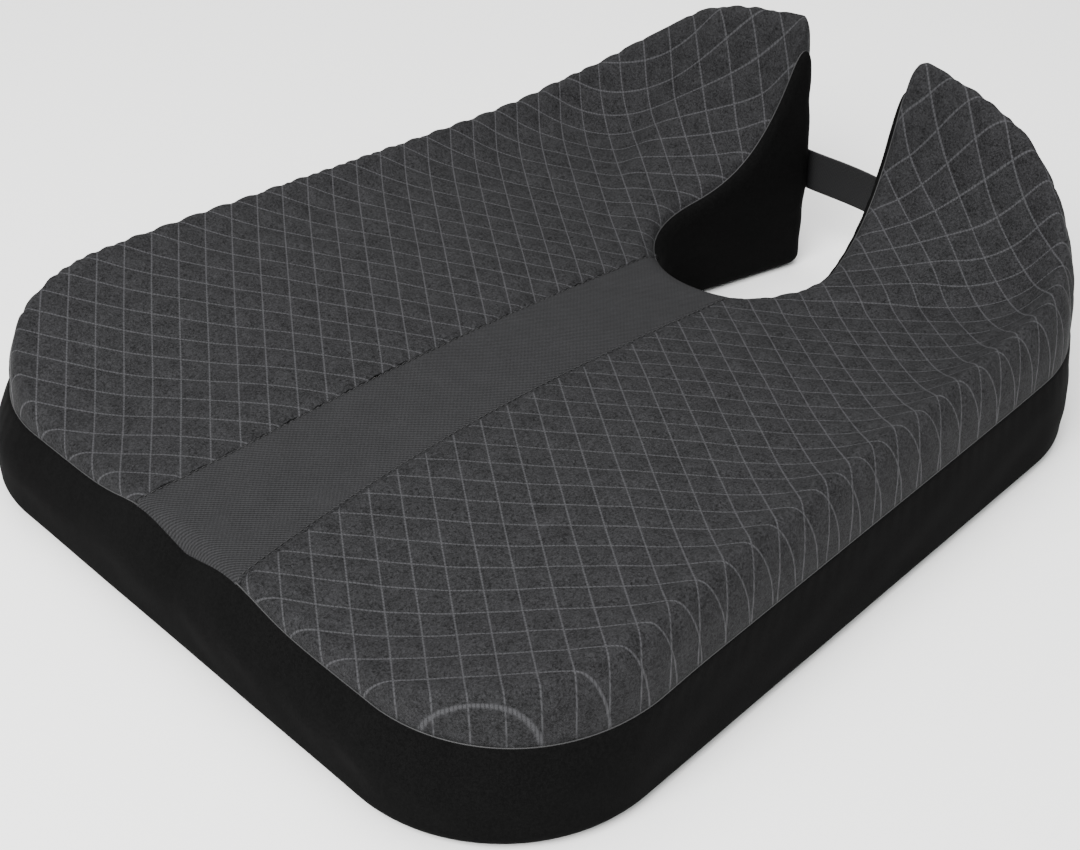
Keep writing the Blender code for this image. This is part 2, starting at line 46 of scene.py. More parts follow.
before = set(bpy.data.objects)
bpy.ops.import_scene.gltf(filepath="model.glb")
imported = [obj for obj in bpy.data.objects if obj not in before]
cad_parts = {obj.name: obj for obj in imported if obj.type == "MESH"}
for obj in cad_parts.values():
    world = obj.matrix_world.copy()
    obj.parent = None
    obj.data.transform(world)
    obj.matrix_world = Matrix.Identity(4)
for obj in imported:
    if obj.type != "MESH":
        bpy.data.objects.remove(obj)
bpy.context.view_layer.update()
WALL_LOW, WALL_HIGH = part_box("outer_wall")
STRAP_LOW, STRAP_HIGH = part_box("carry_strap")
TAPE_LOW, TAPE_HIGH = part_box("zip_tape_front")
REAR_TAPE_LOW, REAR_TAPE_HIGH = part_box("zip_tape_rear")

# ---------------------------------------------------------------- sizes of the cover, metres
FRONT_Y = WALL_LOW.y
DEPTH = WALL_HIGH.y - WALL_LOW.y
FRONT_WIDTH = 0.394
REAR_WIDTH = 0.352
FRONT_CORNER = 0.076      # plan radii
REAR_CORNER = 0.078
TIP_CORNER = 0.010
CUTOUT_RADIUS = 0.045
CUTOUT_CENTRE = 0.361     # behind the front edge
MOUTH_HALF = 0.029
SEAM_INSET = (0.010, 0.002, 0.003, 0.0035)   # of the top seam: front, side, rear, cut-out

SEAT_FRONT = 0.056        # height of the seat at the front
SEAT_CROWN = 0.008        # how much higher its middle is
DISH_SLOPE = 0.078        # climb from the band to the sides, as a gradient
THIGH_DIP = 0.010
SIDE_CREST = 0.082        # height of the rolled sides
WING_RISE = 0.070         # how far the wings stand above them
WING_MIDDLE = 0.103       # from the wing tip, along the seam, to half that rise
WING_SPREAD = 0.027
CREST_INSET = 0.012       # from the seam to the top of the roll
TIP_INSET = 0.006
RIM_ROUND = 0.014         # radius of the shoulder round the cut-out

FOOT_ROUND = 0.007        # radius between the wall and the underside
FOOT_CLEAR = 0.0006       # height of the grip dots, which the cloth stands on
BAND_HALF = 0.028
BAND_FLARE = 0.0085
CLOTH = 0.0012            # thickness of the knit and its backing
BASE_CLOTH = 0.0008
STITCH, STITCH_GAP = 0.0024, 0.0012   # along the centre band

ZIP_Y = (TAPE_HIGH.y + REAR_TAPE_LOW.y) / 2
ZIP_HALF = TAPE_HIGH.x
WELL_HALF = ZIP_Y - TAPE_LOW.y
WELL_TOP = TAPE_HIGH.z + 0.0026
WELL_CLEAR = 0.0006       # between the foam and the tapes' edges


# ---------------------------------------------------------------- settings that a user changes
def length_setting(name, about, default, low, high):
    return bpy.props.FloatProperty(name=name, description=about, default=default, min=low,
                                   max=high, subtype="DISTANCE", unit="LENGTH")


def colour_setting(name, about, default):
    return bpy.props.StringProperty(name=name, description=about + ", sRGB hex", default=default)


class CushionSettings(bpy.types.PropertyGroup):
    """Sizes and colours of the cover, the trim and the stage."""
    cell_width: length_setting(
        "Cell width", "Diagonal of a quilted diamond across the seat", 0.0228, 0.008, 0.06)
    cell_length: length_setting(
        "Cell length", "Diagonal of a quilted diamond from front to back", 0.0160, 0.008, 0.06)
    puff: length_setting(
        "Puff", "How far the middle of a diamond stands above its sewn lines", 0.0010, 0.0, 0.004)
    panel_colour: colour_setting("Panel colour", "Ground yarn of the quilted panels", "1C1C1D")
    # painted sheen: the quilting lines' colour is paler than their yarn, standing for its sheen
    line_sheen_colour: colour_setting("Line sheen colour", "Yarn of the quilting lines, painted paler as their sheen", "3A3A3C")
    band_colour: colour_setting("Band colour", "Ribbed knit of the centre band", "202021")
    wall_colour: colour_setting("Wall colour", "Smooth stretch knit of the walls", "0A0A0A")
    base_colour: colour_setting("Base colour", "Woven cloth under the cushion", "1A1A1B")
    strap_colour: colour_setting("Strap colour", "Webbing of the carry strap", "0E0E0F")
    dot_spacing: length_setting(
        "Grip dot spacing", "Distance between rubber dots on the underside", 0.012, 0.006, 0.05)
    dot_radius: length_setting(
        "Grip dot radius", "Radius of a rubber dot", 0.0022, 0.0005, 0.01)
    floor_colour: colour_setting("Floor colour", "Plain floor and backdrop", "F4F4F3")
    light_power: bpy.props.FloatProperty(
        name="Light power", description="Power of the key light, in watts",
        default=78.0, min=0.0, max=2000.0)


def settings():
    return bpy.context.scene.cushion_settings


# ---------------------------------------------------------------- plan outline
def arc(centre_x, centre_y, radius, start, end, count):
    """Points on a circle: centre plus radius times cosine and sine, angles in degrees."""
    turn = np.radians(np.linspace(start, end, count))
    return np.stack([centre_x + radius * np.cos(turn), centre_y + radius * np.sin(turn)], 1)


def line(start, end, count):
    """Points on a straight run without its two ends."""
    step = np.linspace(0, 1, count + 2)[1:-1, None]
    return np.array(start) * (1 - step) + np.array(end) * step


def outline(front, side, rear, cut):
    """Right half of the outline, front centre to the bottom of the cut-out, moved in by four
    amounts: five arcs joined by straight runs, always with the same number of points."""
    half_front = FRONT_WIDTH / 2 - side
    half_rear = REAR_WIDTH / 2 - side
    back = DEPTH - rear
    mouth = MOUTH_HALF + cut
    radius = TIP_CORNER - cut / 2
    tip = (mouth + radius, back - radius)
    apart = math.hypot(tip[0], tip[1] - CUTOUT_CENTRE)
    # the wing's inner side leans so that it touches both the tip's circle and the cut-out's
    lean = math.degrees(math.asin((radius + CUTOUT_RADIUS + cut) / apart)
                        + math.atan2(tip[1] - CUTOUT_CENTRE, tip[0])) - 90
    runs = [
        np.array([[0.0, front]]),
        arc(half_front - FRONT_CORNER, front + FRONT_CORNER, FRONT_CORNER, -90, 4, 80),
        arc(half_rear - REAR_CORNER, back - REAR_CORNER, REAR_CORNER, 4, 90, 80),
        arc(tip[0], tip[1], radius, 90, 180 + lean, 40),
        arc(0, CUTOUT_CENTRE, CUTOUT_RADIUS + cut, lean, -90, 80),
    ]
    points = [runs[0]]
    for run in runs[1:]:
        points.append(line(points[-1][-1], run[0], 60))
        points.append(run)
    return np.concatenate(points)


FRONT_ARC = 61            # where the runs start in an outline
TIP_ARC = 61 + 80 + 60 + 80 + 60


def lengths(points):
    """Running length along a polyline."""
    return np.concatenate([[0], np.cumsum(np.linalg.norm(np.diff(points, axis=0), axis=1))])


def unit(vectors):
    """Vectors divided by their lengths."""
    size = np.linalg.norm(vectors, axis=-1, keepdims=True)
    return vectors / np.maximum(size, 1e-12)


def inward_of(points):
    """Unit normals of an outline that runs anticlockwise, pointing into the cushion."""
    along = np.gradient(points, axis=0)
    inward = unit(np.stack([-along[:, 1], along[:, 0]], 1))
    inward[0] = (0, 1)
    inward[-1] = (0, -1)
    return inward


def nearest(points, poly):
    """Distance from each point to a polyline, and the fractional index of the nearest place:
    each point is dropped square on to the two pieces beside its nearest corner."""
    parts = [np.linalg.norm(block[:, None] - poly[None], axis=2).argmin(1)
             for block in np.array_split(points, max(1, len(points) // 4000))]
    close = np.clip(np.concatenate(parts), 1, len(poly) - 2)
    found = []
    for start in (close - 1, close):
        run = poly[start + 1] - poly[start]
        along = np.clip(((points - poly[start]) * run).sum(1) / (run * run).sum(1), 0, 1)
        foot = poly[start] + run * along[:, None]
        found.append((np.linalg.norm(points - foot, axis=1), start + along))
    first = found[0][0] < found[1][0]
    return np.where(first, found[0][0], found[1][0]), np.where(first, found[0][1], found[1][1])


def at(values, positions):
    """Values at fractional indices."""
    return np.interp(positions, np.arange(len(values)), values)


def pick(points, positions):
    """Points at fractional indices."""
    return np.stack([at(points[:, k], positions) for k in range(points.shape[1])], -1)


def smooth(low, high, value):
    """Goes from 0 to 1 between two values without a corner: three t squared less two t cubed."""
    t = np.clip((value - low) / (high - low), 0, 1)
    return t * t * (3 - 2 * t)


def folded(points):
    """Plan points turned over on to the right half."""
    return np.stack([np.abs(points[:, 0]), points[:, 1]], 1)


def bell(value, middle, spread):
    """Gaussian hump of height 1."""
    return np.exp(-((value - middle) / spread) ** 2)


BASE = outline(0, 0, 0, 0)
SEAM = outline(*SEAM_INSET)
TIP_AIM = (MOUTH_HALF + TIP_CORNER * 0.3, DEPTH - SEAM_INSET[2] - TIP_CORNER * 0.3)
TIP_MIDDLE = int(nearest(np.array([TIP_AIM]), SEAM)[1][0])
OUTER = SEAM[:TIP_MIDDLE + 1]
FROM_TIP = lengths(OUTER)[-1] - lengths(OUTER)


# ---------------------------------------------------------------- heights of the cover
def crest_height(from_tip):
    """Top of the rolled edge: level along the side, an S curve up to the wing tip."""
    return SIDE_CREST + WING_RISE / (1 + np.exp((from_tip - WING_MIDDLE) / WING_SPREAD))


def seam_height(from_tip, x, y):
    """Top seam: two low humps along the front edge, and an S curve up along the wing."""
    front = 0.0455 + 0.0075 * bell(x, 0.030, 0.026)
    side = 0.051 + 0.077 / (1 + np.exp((from_tip - 0.068) / 0.027))
    share = smooth(0.012, 0.12, y)
    return front * (1 - share) + side * share


def seat_height(x, y):
    """Dished seat: half a sine from front to back, a slope up to the sides, two thigh hollows."""
    height = SEAT_FRONT + SEAT_CROWN * np.sin(np.pi * np.clip((y - 0.01) / 0.314, 0, 1))
    height = height + DISH_SLOPE * np.maximum(x - 0.03, 0)
    return height - THIGH_DIP * bell(x, 0.10, 0.045) * (1 - smooth(0.01, 0.15, y))


def crest_inset(from_tip):
    """Distance from the seam to the crest, less at the wing tip."""
    return TIP_INSET + (CREST_INSET - TIP_INSET) * smooth(0.005, 0.065, from_tip)


def raw_height(points):
    """Seat plus the rolled edge, which dies away exponentially inside its crest."""
    away, place = nearest(points, OUTER)
    from_tip = at(FROM_TIP, place)
    seat = seat_height(points[:, 0], points[:, 1])
    fade = 0.012 + 0.012 * (1 - smooth(0.06, 0.18, from_tip))
    grown = smooth(0.005, 0.13, at(OUTER[:, 1], place))
    rise = np.maximum(crest_height(from_tip) - seat, 0) * grown
    return seat + rise * np.exp(-np.maximum(away - crest_inset(from_tip), 0) / fade)


STEP = 0.002              # of the height tables
MARGIN = 12               # steps kept outside the outline
TABLE_HALF = 102          # steps from the middle line to past the side
CROSS_LINE = 100          # steps from the front to the line that the cloth is measured from
CLIMB = 0.0016            # most height that the cloth follows in a step, as it is stretched


def blurred(table, steps):
    """Gaussian blur of a table, a number of steps wide: once down, once across, edges repeated."""
    reach = int(3 * steps) + 1
    weight = np.exp(-0.5 * (np.arange(-reach, reach + 1) / steps) ** 2)
    weight /= weight.sum()
    for axis in (0, 1):
        wide = np.pad(table, [(reach, reach) if k == axis else (0, 0) for k in (0, 1)], "edge")
        size = table.shape[axis]
        table = sum(w * np.take(wide, np.arange(k, k + size), axis) for k, w in enumerate(weight))
    return table


def from_table(table, points):
    """Bilinear value of a table at plan points."""
    column = np.clip(points[:, 0] / STEP + MARGIN, 0, table.shape[1] - 1.001)
    row = np.clip(points[:, 1] / STEP + MARGIN, 0, table.shape[0] - 1.001)
    c, r = column.astype(int), row.astype(int)
    fc, fr = column - c, row - r
    low = table[r, c] * (1 - fc) + table[r, c + 1] * fc
    high = table[r + 1, c] * (1 - fc) + table[r + 1, c + 1] * fc
    return low * (1 - fr) + high * fr


TABLE_X = np.arange(-MARGIN, TABLE_HALF + MARGIN) * STEP
TABLE_Y = np.arange(-MARGIN, int(DEPTH / STEP) + MARGIN) * STEP
TABLE_PLAN = np.stack(np.meshgrid(TABLE_X, TABLE_Y), -1).reshape(-1, 2)
TABLE_SHAPE = (len(TABLE_Y), len(TABLE_X))
BODY = blurred(raw_height(folded(TABLE_PLAN)).reshape(TABLE_SHAPE), 2.0)


def body_height(points):
    """Height of the seat and its rolls, before the edges are rounded over."""
    return from_table(BODY, points)


BEYOND_TIP = lengths(SEAM) - lengths(SEAM)[TIP_MIDDLE]
TO_CUT = smooth(-0.006, 0.016, BEYOND_TIP)
SEAM_FROM_TIP = np.maximum(-BEYOND_TIP, 0)
REACH = crest_inset(SEAM_FROM_TIP) * (0.55 + 0.45 * smooth(0.005, 0.13, SEAM[:, 1]))
RIM_SHARE = 1 - SEAM_INSET[3] / RIM_ROUND
RIM_DROP = RIM_ROUND * (1 - math.sqrt(1 - RIM_SHARE ** 2))
EDGE_Z = seam_height(SEAM_FROM_TIP, SEAM[:, 0], SEAM[:, 1])
SEAM_Z = EDGE_Z * (1 - TO_CUT) + (body_height(SEAM) - RIM_DROP) * TO_CUT


def top_height(points, cut_out=True):
    """The body, rounded over to the outer seam: the share of the way up is a power of one less
    the square of the distance still to go. Round the cut-out, a quarter circle starts it down."""
    away, place = nearest(points, SEAM if cut_out else OUTER)
    body = body_height(points)
    share = at(TO_CUT, place) * cut_out
    edge = at(EDGE_Z, place)
    inside = np.clip(1 - away / at(REACH, place), 0, 1)
    rolled = edge + (body - edge) * (1 - inside ** 2) ** 0.65
    over = np.clip(1 - (away + SEAM_INSET[3]) / RIM_ROUND, 0, 1)
    shoulder = body - RIM_ROUND * (1 - np.sqrt(1 - over ** 2))
    return rolled * (1 - share) + shoulder * share


def surface_lengths():
    """Tables of how long the cloth is from the middle line outwards, and both ways from a line
    across the seat: running sums of steps along a surface that is rounded over by only two tenths
    and climbs by at most 0.8, as the cloth is stretched over the edge, then blurred by 4 mm."""
    z = 0.2 * top_height(TABLE_PLAN, False) + 0.8 * body_height(TABLE_PLAN)
    z = blurred(z.reshape(TABLE_SHAPE), 1.0)
    tables = []
    for axis, start, plan in ((1, MARGIN, TABLE_X[None]),
                              (0, MARGIN + CROSS_LINE, TABLE_Y[:, None])):
        step = np.hypot(STEP, np.clip(np.diff(z, axis=axis), -CLIMB, CLIMB))
        run = np.concatenate([np.zeros_like(np.take(z, [0], axis)), np.cumsum(step, axis)], axis)
        run = run - np.take(run, [start], axis)
        tables.append(plan + blurred(run - plan, 1.8))
    return tables


# ---------------------------------------------------------------- grids of the cover
def crowd(steps, start, end):
    """Steps from 0 to 1 that shrink evenly to a twelfth over a share of the way at either end."""
    fine = np.linspace(0, 1, 4001)
    speed = np.minimum(fine / max(start, 1e-6), 1) * np.minimum((1 - fine) / max(end, 1e-6), 1)
    speed = np.maximum(speed, 1 / 12)
    run = np.cumsum(speed) - speed[0]
    return np.interp(steps, fine, run / run[-1])


def spaced(first, last, steps):
    """Fractional positions on the seam between two places, at shares of the length between."""
    run = lengths(SEAM)
    start, end = at(run, np.array([first, last]))
    return np.interp(start + (end - start) * steps, run, np.arange(len(run)))


def band_half(y):
    """Half width of the band: even, flaring exponentially at the front."""
    return BAND_HALF + BAND_FLARE * np.exp(-(y - 0.01) / 0.06)


def edge_positions(across, along, cut_rows, middle):
    """Positions of the grids' edge points round the half seam, run by run."""
    band_front = np.interp(band_half(SEAM_INSET[0]), SEAM[:60, 0], np.arange(60))
    corner = FRONT_ARC + 40
    tip_start = TIP_ARC + 4
    tip_end = tip_start + 32
    at_cut = nearest(np.array([[BAND_HALF, CUTOUT_CENTRE - 0.035]]), SEAM)[1][0]
    even = [np.linspace(0, 1, count + 1) for count in (across, along, cut_rows, middle)]
    return [spaced(0, band_front, even[3]), spaced(band_front, corner, even[0]),
            spaced(corner, tip_start, crowd(even[1], 0.12, 0.10)),
            spaced(tip_start, tip_end, even[0]),
            spaced(tip_end, at_cut, crowd(even[2], 0.30, 0.0)),
            spaced(at_cut, len(SEAM) - 1, even[3])]


def patch(left, right, front, back):
    """Plan grid between four edges: straight rulings both ways, less the bilinear corner term."""
    t = np.linspace(0, 1, len(left))[:, None, None]
    s = np.linspace(0, 1, len(front))[None, :, None]
    ruled = (1 - s) * left[:, None] + s * right[:, None]
    ruled = ruled + (1 - t) * front[None] + t * back[None]
    corners = (1 - s) * (1 - t) * left[0] + s * (1 - t) * right[0]
    corners = corners + (1 - s) * t * left[-1] + s * t * right[-1]
    return ruled - corners


FOOT = BASE + inward_of(BASE) * FOOT_ROUND


def band_edge(edge, rows, rim):
    """Right edge of the centre band, front seam to the cut-out."""
    start = pick(rim, edge[0])[-1]
    end = pick(rim, edge[5])[0]
    y = start[1] + (end[1] - start[1]) * crowd(np.linspace(0, 1, rows + 1), 0.12, 0.0)
    x = band_half(y)
    x[0] = start[0]
    x[-1] = end[0]
    return np.stack([x, y], 1)


def slid(plan, places):
    """Moves every row's points along their row to new shares of the way, row by row."""
    count = plan.shape[1]
    want = places * (count - 1)
    low = np.clip(want.astype(int), 0, count - 2)
    part = (want - low)[..., None]
    rows = np.arange(len(plan))[:, None]
    return plan[rows, low] * (1 - part) + plan[rows, low + 1] * part


def panel_plan(edge, across, along, cut_rows, rim=SEAM):
    """Right panel in plan. Its columns crowd towards the side seam, where the cover turns down."""
    left = np.concatenate([band_edge(edge, along - cut_rows, rim), pick(rim, edge[4])[::-1][1:]])
    plan = patch(left, pick(rim, edge[2]), pick(rim, edge[1]), pick(rim, edge[3])[::-1])
    even = np.linspace(0, 1, across + 1)
    t = np.linspace(0, 1, along + 1)
    share = np.clip(np.minimum(t / 0.10, (1 - t) / 0.08), 0, 1)[:, None]
    return slid(plan, even * (1 - share) + crowd(even, 0.10, 0.30) * share)


def band_plan(edge, rows, rim=SEAM):
    """Centre band in plan, columns from left to right."""
    right = band_edge(edge, rows, rim)
    front = pick(rim, edge[0])
    back = pick(rim, edge[5])[::-1]
    front = np.concatenate([front[:0:-1] * [-1, 1], front])
    back = np.concatenate([back[:0:-1] * [-1, 1], back])
    return patch(right * [-1, 1], right, front, back)


def lifted(plan, height):
    return np.concatenate([plan, height.reshape(plan.shape[:2])[..., None]], -1)


def wall_rows(edge, count):
    """Wall of the half loop, rows from the top seam to the foot. It leaves the seam, swells out
    to the outline in a quarter sine (round the cut-out, the rest of the shoulder's quarter
    circle), and turns under in a quarter circle."""
    places = np.concatenate([run[:-1] for run in edge] + [edge[-1][-1:]])
    seam = pick(SEAM, places)
    base = pick(BASE, places)
    inward = pick(inward_of(BASE), places)
    top = at(SEAM_Z, places)[:, None]
    foot = FOOT_ROUND
    down = (top - foot) * crowd(np.linspace(0, 1, count + 1), 0.40, 0.10)[None]
    out = np.sin(np.pi / 2 * np.clip(down / (0.66 * (top - foot)), 0, 1))
    still = np.clip(1 - (down + RIM_DROP) / RIM_ROUND, 0, 1)
    over = 1 - RIM_ROUND * (1 - np.sqrt(1 - still ** 2)) / SEAM_INSET[3]
    share = at(TO_CUT, places)[:, None]
    out = out * (1 - share) + over * share
    side = seam[:, None] + (base - seam)[:, None] * out[..., None]
    turn = np.radians(np.linspace(0, 90, count // 3 + 1))[1:]
    under = base[:, None] + inward[:, None] * (foot * (1 - np.cos(turn)))[None, :, None]
    under_z = np.broadcast_to(foot - (foot - FOOT_CLEAR) * np.sin(turn), under.shape[:2])
    grid = np.concatenate([lifted(side, top - down), lifted(under, under_z)], 1)
    return grid.transpose(1, 0, 2), places


def placed(grid):
    """From the outline's own plan to the frame."""
    return grid + [0, FRONT_Y, 0]


def mirrored(grid):
    """The other half of a grid, its columns in reverse so that it faces the same way."""
    return grid[:, ::-1] * [-1, 1, 1]


def looped(half):
    """A half loop's rows and their mirror image as one loop."""
    return np.concatenate([half, mirrored(half)[:, 1:-1]], 1)


def normals_of(grid):
    """Unit normals of a grid: the cross product of its two tangents."""
    return unit(np.cross(np.gradient(grid, axis=1), np.gradient(grid, axis=0)))


# ---------------------------------------------------------------- meshes
UP = np.array([0.0, 0.0, 1.0])


def mesh_piece(name, points, faces, material, uv=None):
    """Makes an object from points, faces and, per point, a place on the cloth in centimetres."""
    mesh = bpy.data.meshes.new(name)
    mesh.from_pydata(np.asarray(points).reshape(-1, 3).tolist(), [], faces)
    mesh.update()
    if uv is not None:
        corner = np.zeros(len(mesh.loops), int)
        mesh.loops.foreach_get("vertex_index", corner)
        layer = mesh.uv_layers.new(name="cloth")
        layer.data.foreach_set("uv", np.asarray(uv).reshape(-1, 2)[corner].ravel())
    mesh.materials.append(material)
    mesh.shade_smooth()
    piece = bpy.data.objects.new(name, mesh)
    bpy.context.scene.collection.objects.link(piece)
    return piece


def grid_faces(rows, columns, around=False, flip=False, start=0, ring=False):
    """Four-sided faces of a grid whose points are numbered row by row. Its rows may each run
    round, and as a ring its last row may join the first."""
    index = start + np.arange(rows * columns).reshape(rows, columns)
    if ring:
        index = np.concatenate([index, index[:1]])
    if around:
        index = np.concatenate([index, index[:, :1]], 1)
    faces = np.stack([index[:-1, :-1], index[:-1, 1:], index[1:, 1:], index[1:, :-1]], -1)
    faces = faces.reshape(-1, 4)
    return (faces[:, ::-1] if flip else faces).tolist()


def thicken(piece, thickness):
    """Gives a sheet its thickness, inwards from its outer face."""
    solid = piece.modifiers.new("cloth_thickness", "SOLIDIFY")
    solid.thickness = thickness
    solid.offset = -1
    solid.use_even_offset = False


def knit_sheet(name, grid, material, uv=None, flip=False):
    """A grid of the cover as a piece of knit."""
    piece = mesh_piece(name, grid, grid_faces(*grid.shape[:2], flip=flip), material, uv)
    thicken(piece, CLOTH)
    return piece


def carried(profile, path, up, closed=False):
    """A profile carried along a path: each point is the path's plus the profile's two numbers
    times the side and up directions there."""
    if closed:
        tangent = unit(np.roll(path, -1, 0) - np.roll(path, 1, 0))
    else:
        tangent = unit(np.gradient(path, axis=0))
    side = unit(np.cross(tangent, np.broadcast_to(up, path.shape)))
    top = np.cross(side, tangent)
    across, above = profile[None, :, :1] * side[:, None], profile[None, :, 1:] * top[:, None]
    return path[:, None] + across + above


def ring_of(width, height, sides, power=2.0):
    """Closed profile, a superellipse: cosine and sine raised to two over the power."""
    turn = np.linspace(0, 2 * np.pi, sides, endpoint=False)
    shape = [np.sign(f(turn)) * np.abs(f(turn)) ** (2 / power) for f in (np.cos, np.sin)]
    return np.stack([shape[0] * width / 2, shape[1] * height / 2], 1)


def bar_faces(rings, sides, start=0):
    """Faces of a bar of closed rings with both ends closed, pointing outwards."""
    faces = grid_faces(rings, sides, around=True, flip=True, start=start)
    first = start + np.arange(sides)
    return faces + [first.tolist(), (first + (rings - 1) * sides)[::-1].tolist()]


def stitches(starts, ends, up, width, rise):
    """Sewing stitches: for each, five rings of six points along a line that arches by the rise,
    full in the middle and small at both ends."""
    t = np.linspace(0, 1, 5)
    line_points = starts[:, None] * (1 - t)[None, :, None] + ends[:, None] * t[None, :, None]
    lift = np.sin(np.pi * t)
    line_points = line_points + up[:, None] * (lift * rise)[None, :, None]
    along = unit(ends - starts)
    side = unit(np.cross(along, up))
    turn = np.linspace(0, 2 * np.pi, 6, endpoint=False)
    size = width / 2 * (0.55 + 0.45 * lift)
    ring = (np.cos(turn)[None, :, None] * side[:, None] + np.sin(turn)[None, :, None] * up[:, None])
    points = line_points[:, :, None] + size[None, :, None, None] * ring[:, None]
    one = bar_faces(5, 6)
    faces = [[corner + k * 30 for corner in face] for k in range(len(starts)) for face in one]
    return points.reshape(-1, 3), faces


def stitched_line(path, up, length, gap, width, rise):
    """Splits a path into stitches of one length with a gap between them."""
    run = lengths(path)
    count = int(run[-1] // (length + gap))
    begin = (np.arange(count) + 0.5) * run[-1] / count - length / 2
    index = np.arange(len(run))
    places = [np.interp(begin, run, index), np.interp(begin + length, run, index)]
    ups = unit(pick(up, places[0]))
    return stitches(pick(path, places[0]), pick(path, places[1]), ups, width, rise)


def joined(parts):
    """Several lots of points and faces as one."""
    points, faces, count = [], [], 0
    for some, its_faces in parts:
        points.append(np.asarray(some).reshape(-1, 3))
        faces += [[corner + count for corner in face] for face in its_faces]
        count += len(points[-1])
    return np.concatenate(points), faces


# ---------------------------------------------------------------- materials
def linear(code):
    """An sRGB hex colour as linear red, green, blue and alpha 1."""
    parts = [int(code[k:k + 2], 16) / 255 for k in (0, 2, 4)]
    return [p / 12.92 if p <= 0.04045 else ((p + 0.055) / 1.055) ** 2.4 for p in parts] + [1.0]


def add(tree, kind, inputs=None, **choices):
    """Adds a node, sets its choices, and fills its inputs with values or other nodes' outputs."""
    node = tree.nodes.new(kind)
    for name, value in choices.items():
        setattr(node, name, value)
    for name, value in (inputs or {}).items():
        if isinstance(value, bpy.types.Node):
            value = value.outputs[0]
        if isinstance(value, bpy.types.NodeSocket):
            tree.links.new(value, node.inputs[name])
        else:
            node.inputs[name].default_value = value
    return node


def new_material(name):
    """An empty material and its Principled shader, linked to the output."""
    material = bpy.data.materials.new(name)
    material.use_nodes = True
    tree = material.node_tree
    tree.nodes.clear()
    shader = add(tree, "ShaderNodeBsdfPrincipled")
    add(tree, "ShaderNodeOutputMaterial", {"Surface": shader.outputs["BSDF"]})
    return material, tree, shader


def sums(tree, operation, *values):
    """One Math node for each pair in turn: the first two, then that with the next."""
    result = values[0]
    for value in values[1:]:
        result = add(tree, "ShaderNodeMath", {0: result, 1: value}, operation=operation)
    return result


def mixed(tree, *parts):
    """Sum of shader values, each a pair of the value and its weight."""
    return sums(tree, "ADD", *(sums(tree, "MULTIPLY", value, weight) for value, weight in parts))


def wave(tree, value, period):
    """Sine of a place, one turn for each period."""
    turns = sums(tree, "MULTIPLY", value, 2 * math.pi / period)
    return add(tree, "ShaderNodeMath", {0: turns}, operation="SINE")


def noise(tree, place, scale, detail=2.0, **more):
    """Noise of a place, so many lumps to a metre."""
    return add(tree, "ShaderNodeTexNoise", {
        "Vector": place, "Scale": scale, "Detail": detail, **more}).outputs[0]


def ranged(tree, value, low, high, at_low=0.0, at_high=1.0, **choices):
    """A value's way from one limit to another, as a share or as a new value."""
    return add(tree, "ShaderNodeMapRange", {0: value, 1: low, 2: high, 3: at_low, 4: at_high},
               **choices).outputs[0]


def tones(tree, share, code, dark, pale):
    """From a darker to a paler tone of a colour, each a multiple of it."""
    low, high = ([c * times for c in linear(code)[:3]] + [1.0] for times in (dark, pale))
    return add(tree, "ShaderNodeMix", {0: share, 6: low, 7: high}, data_type="RGBA").outputs[2]


def finish(tree, shader, colour, relief, strength, **values):
    """Gives the shader its colour, its relief in metres, and its other values by name."""
    bump = add(tree, "ShaderNodeBump", {"Strength": strength, "Distance": 1.0, "Height": relief})
    tree.links.new(colour, shader.inputs["Base Color"])
    tree.links.new(bump.outputs[0], shader.inputs["Normal"])
    for name, value in values.items():
        socket = shader.inputs[name.replace("_", " ")]
        if isinstance(value, bpy.types.NodeSocket):
            tree.links.new(value, socket)
        else:
            socket.default_value = value


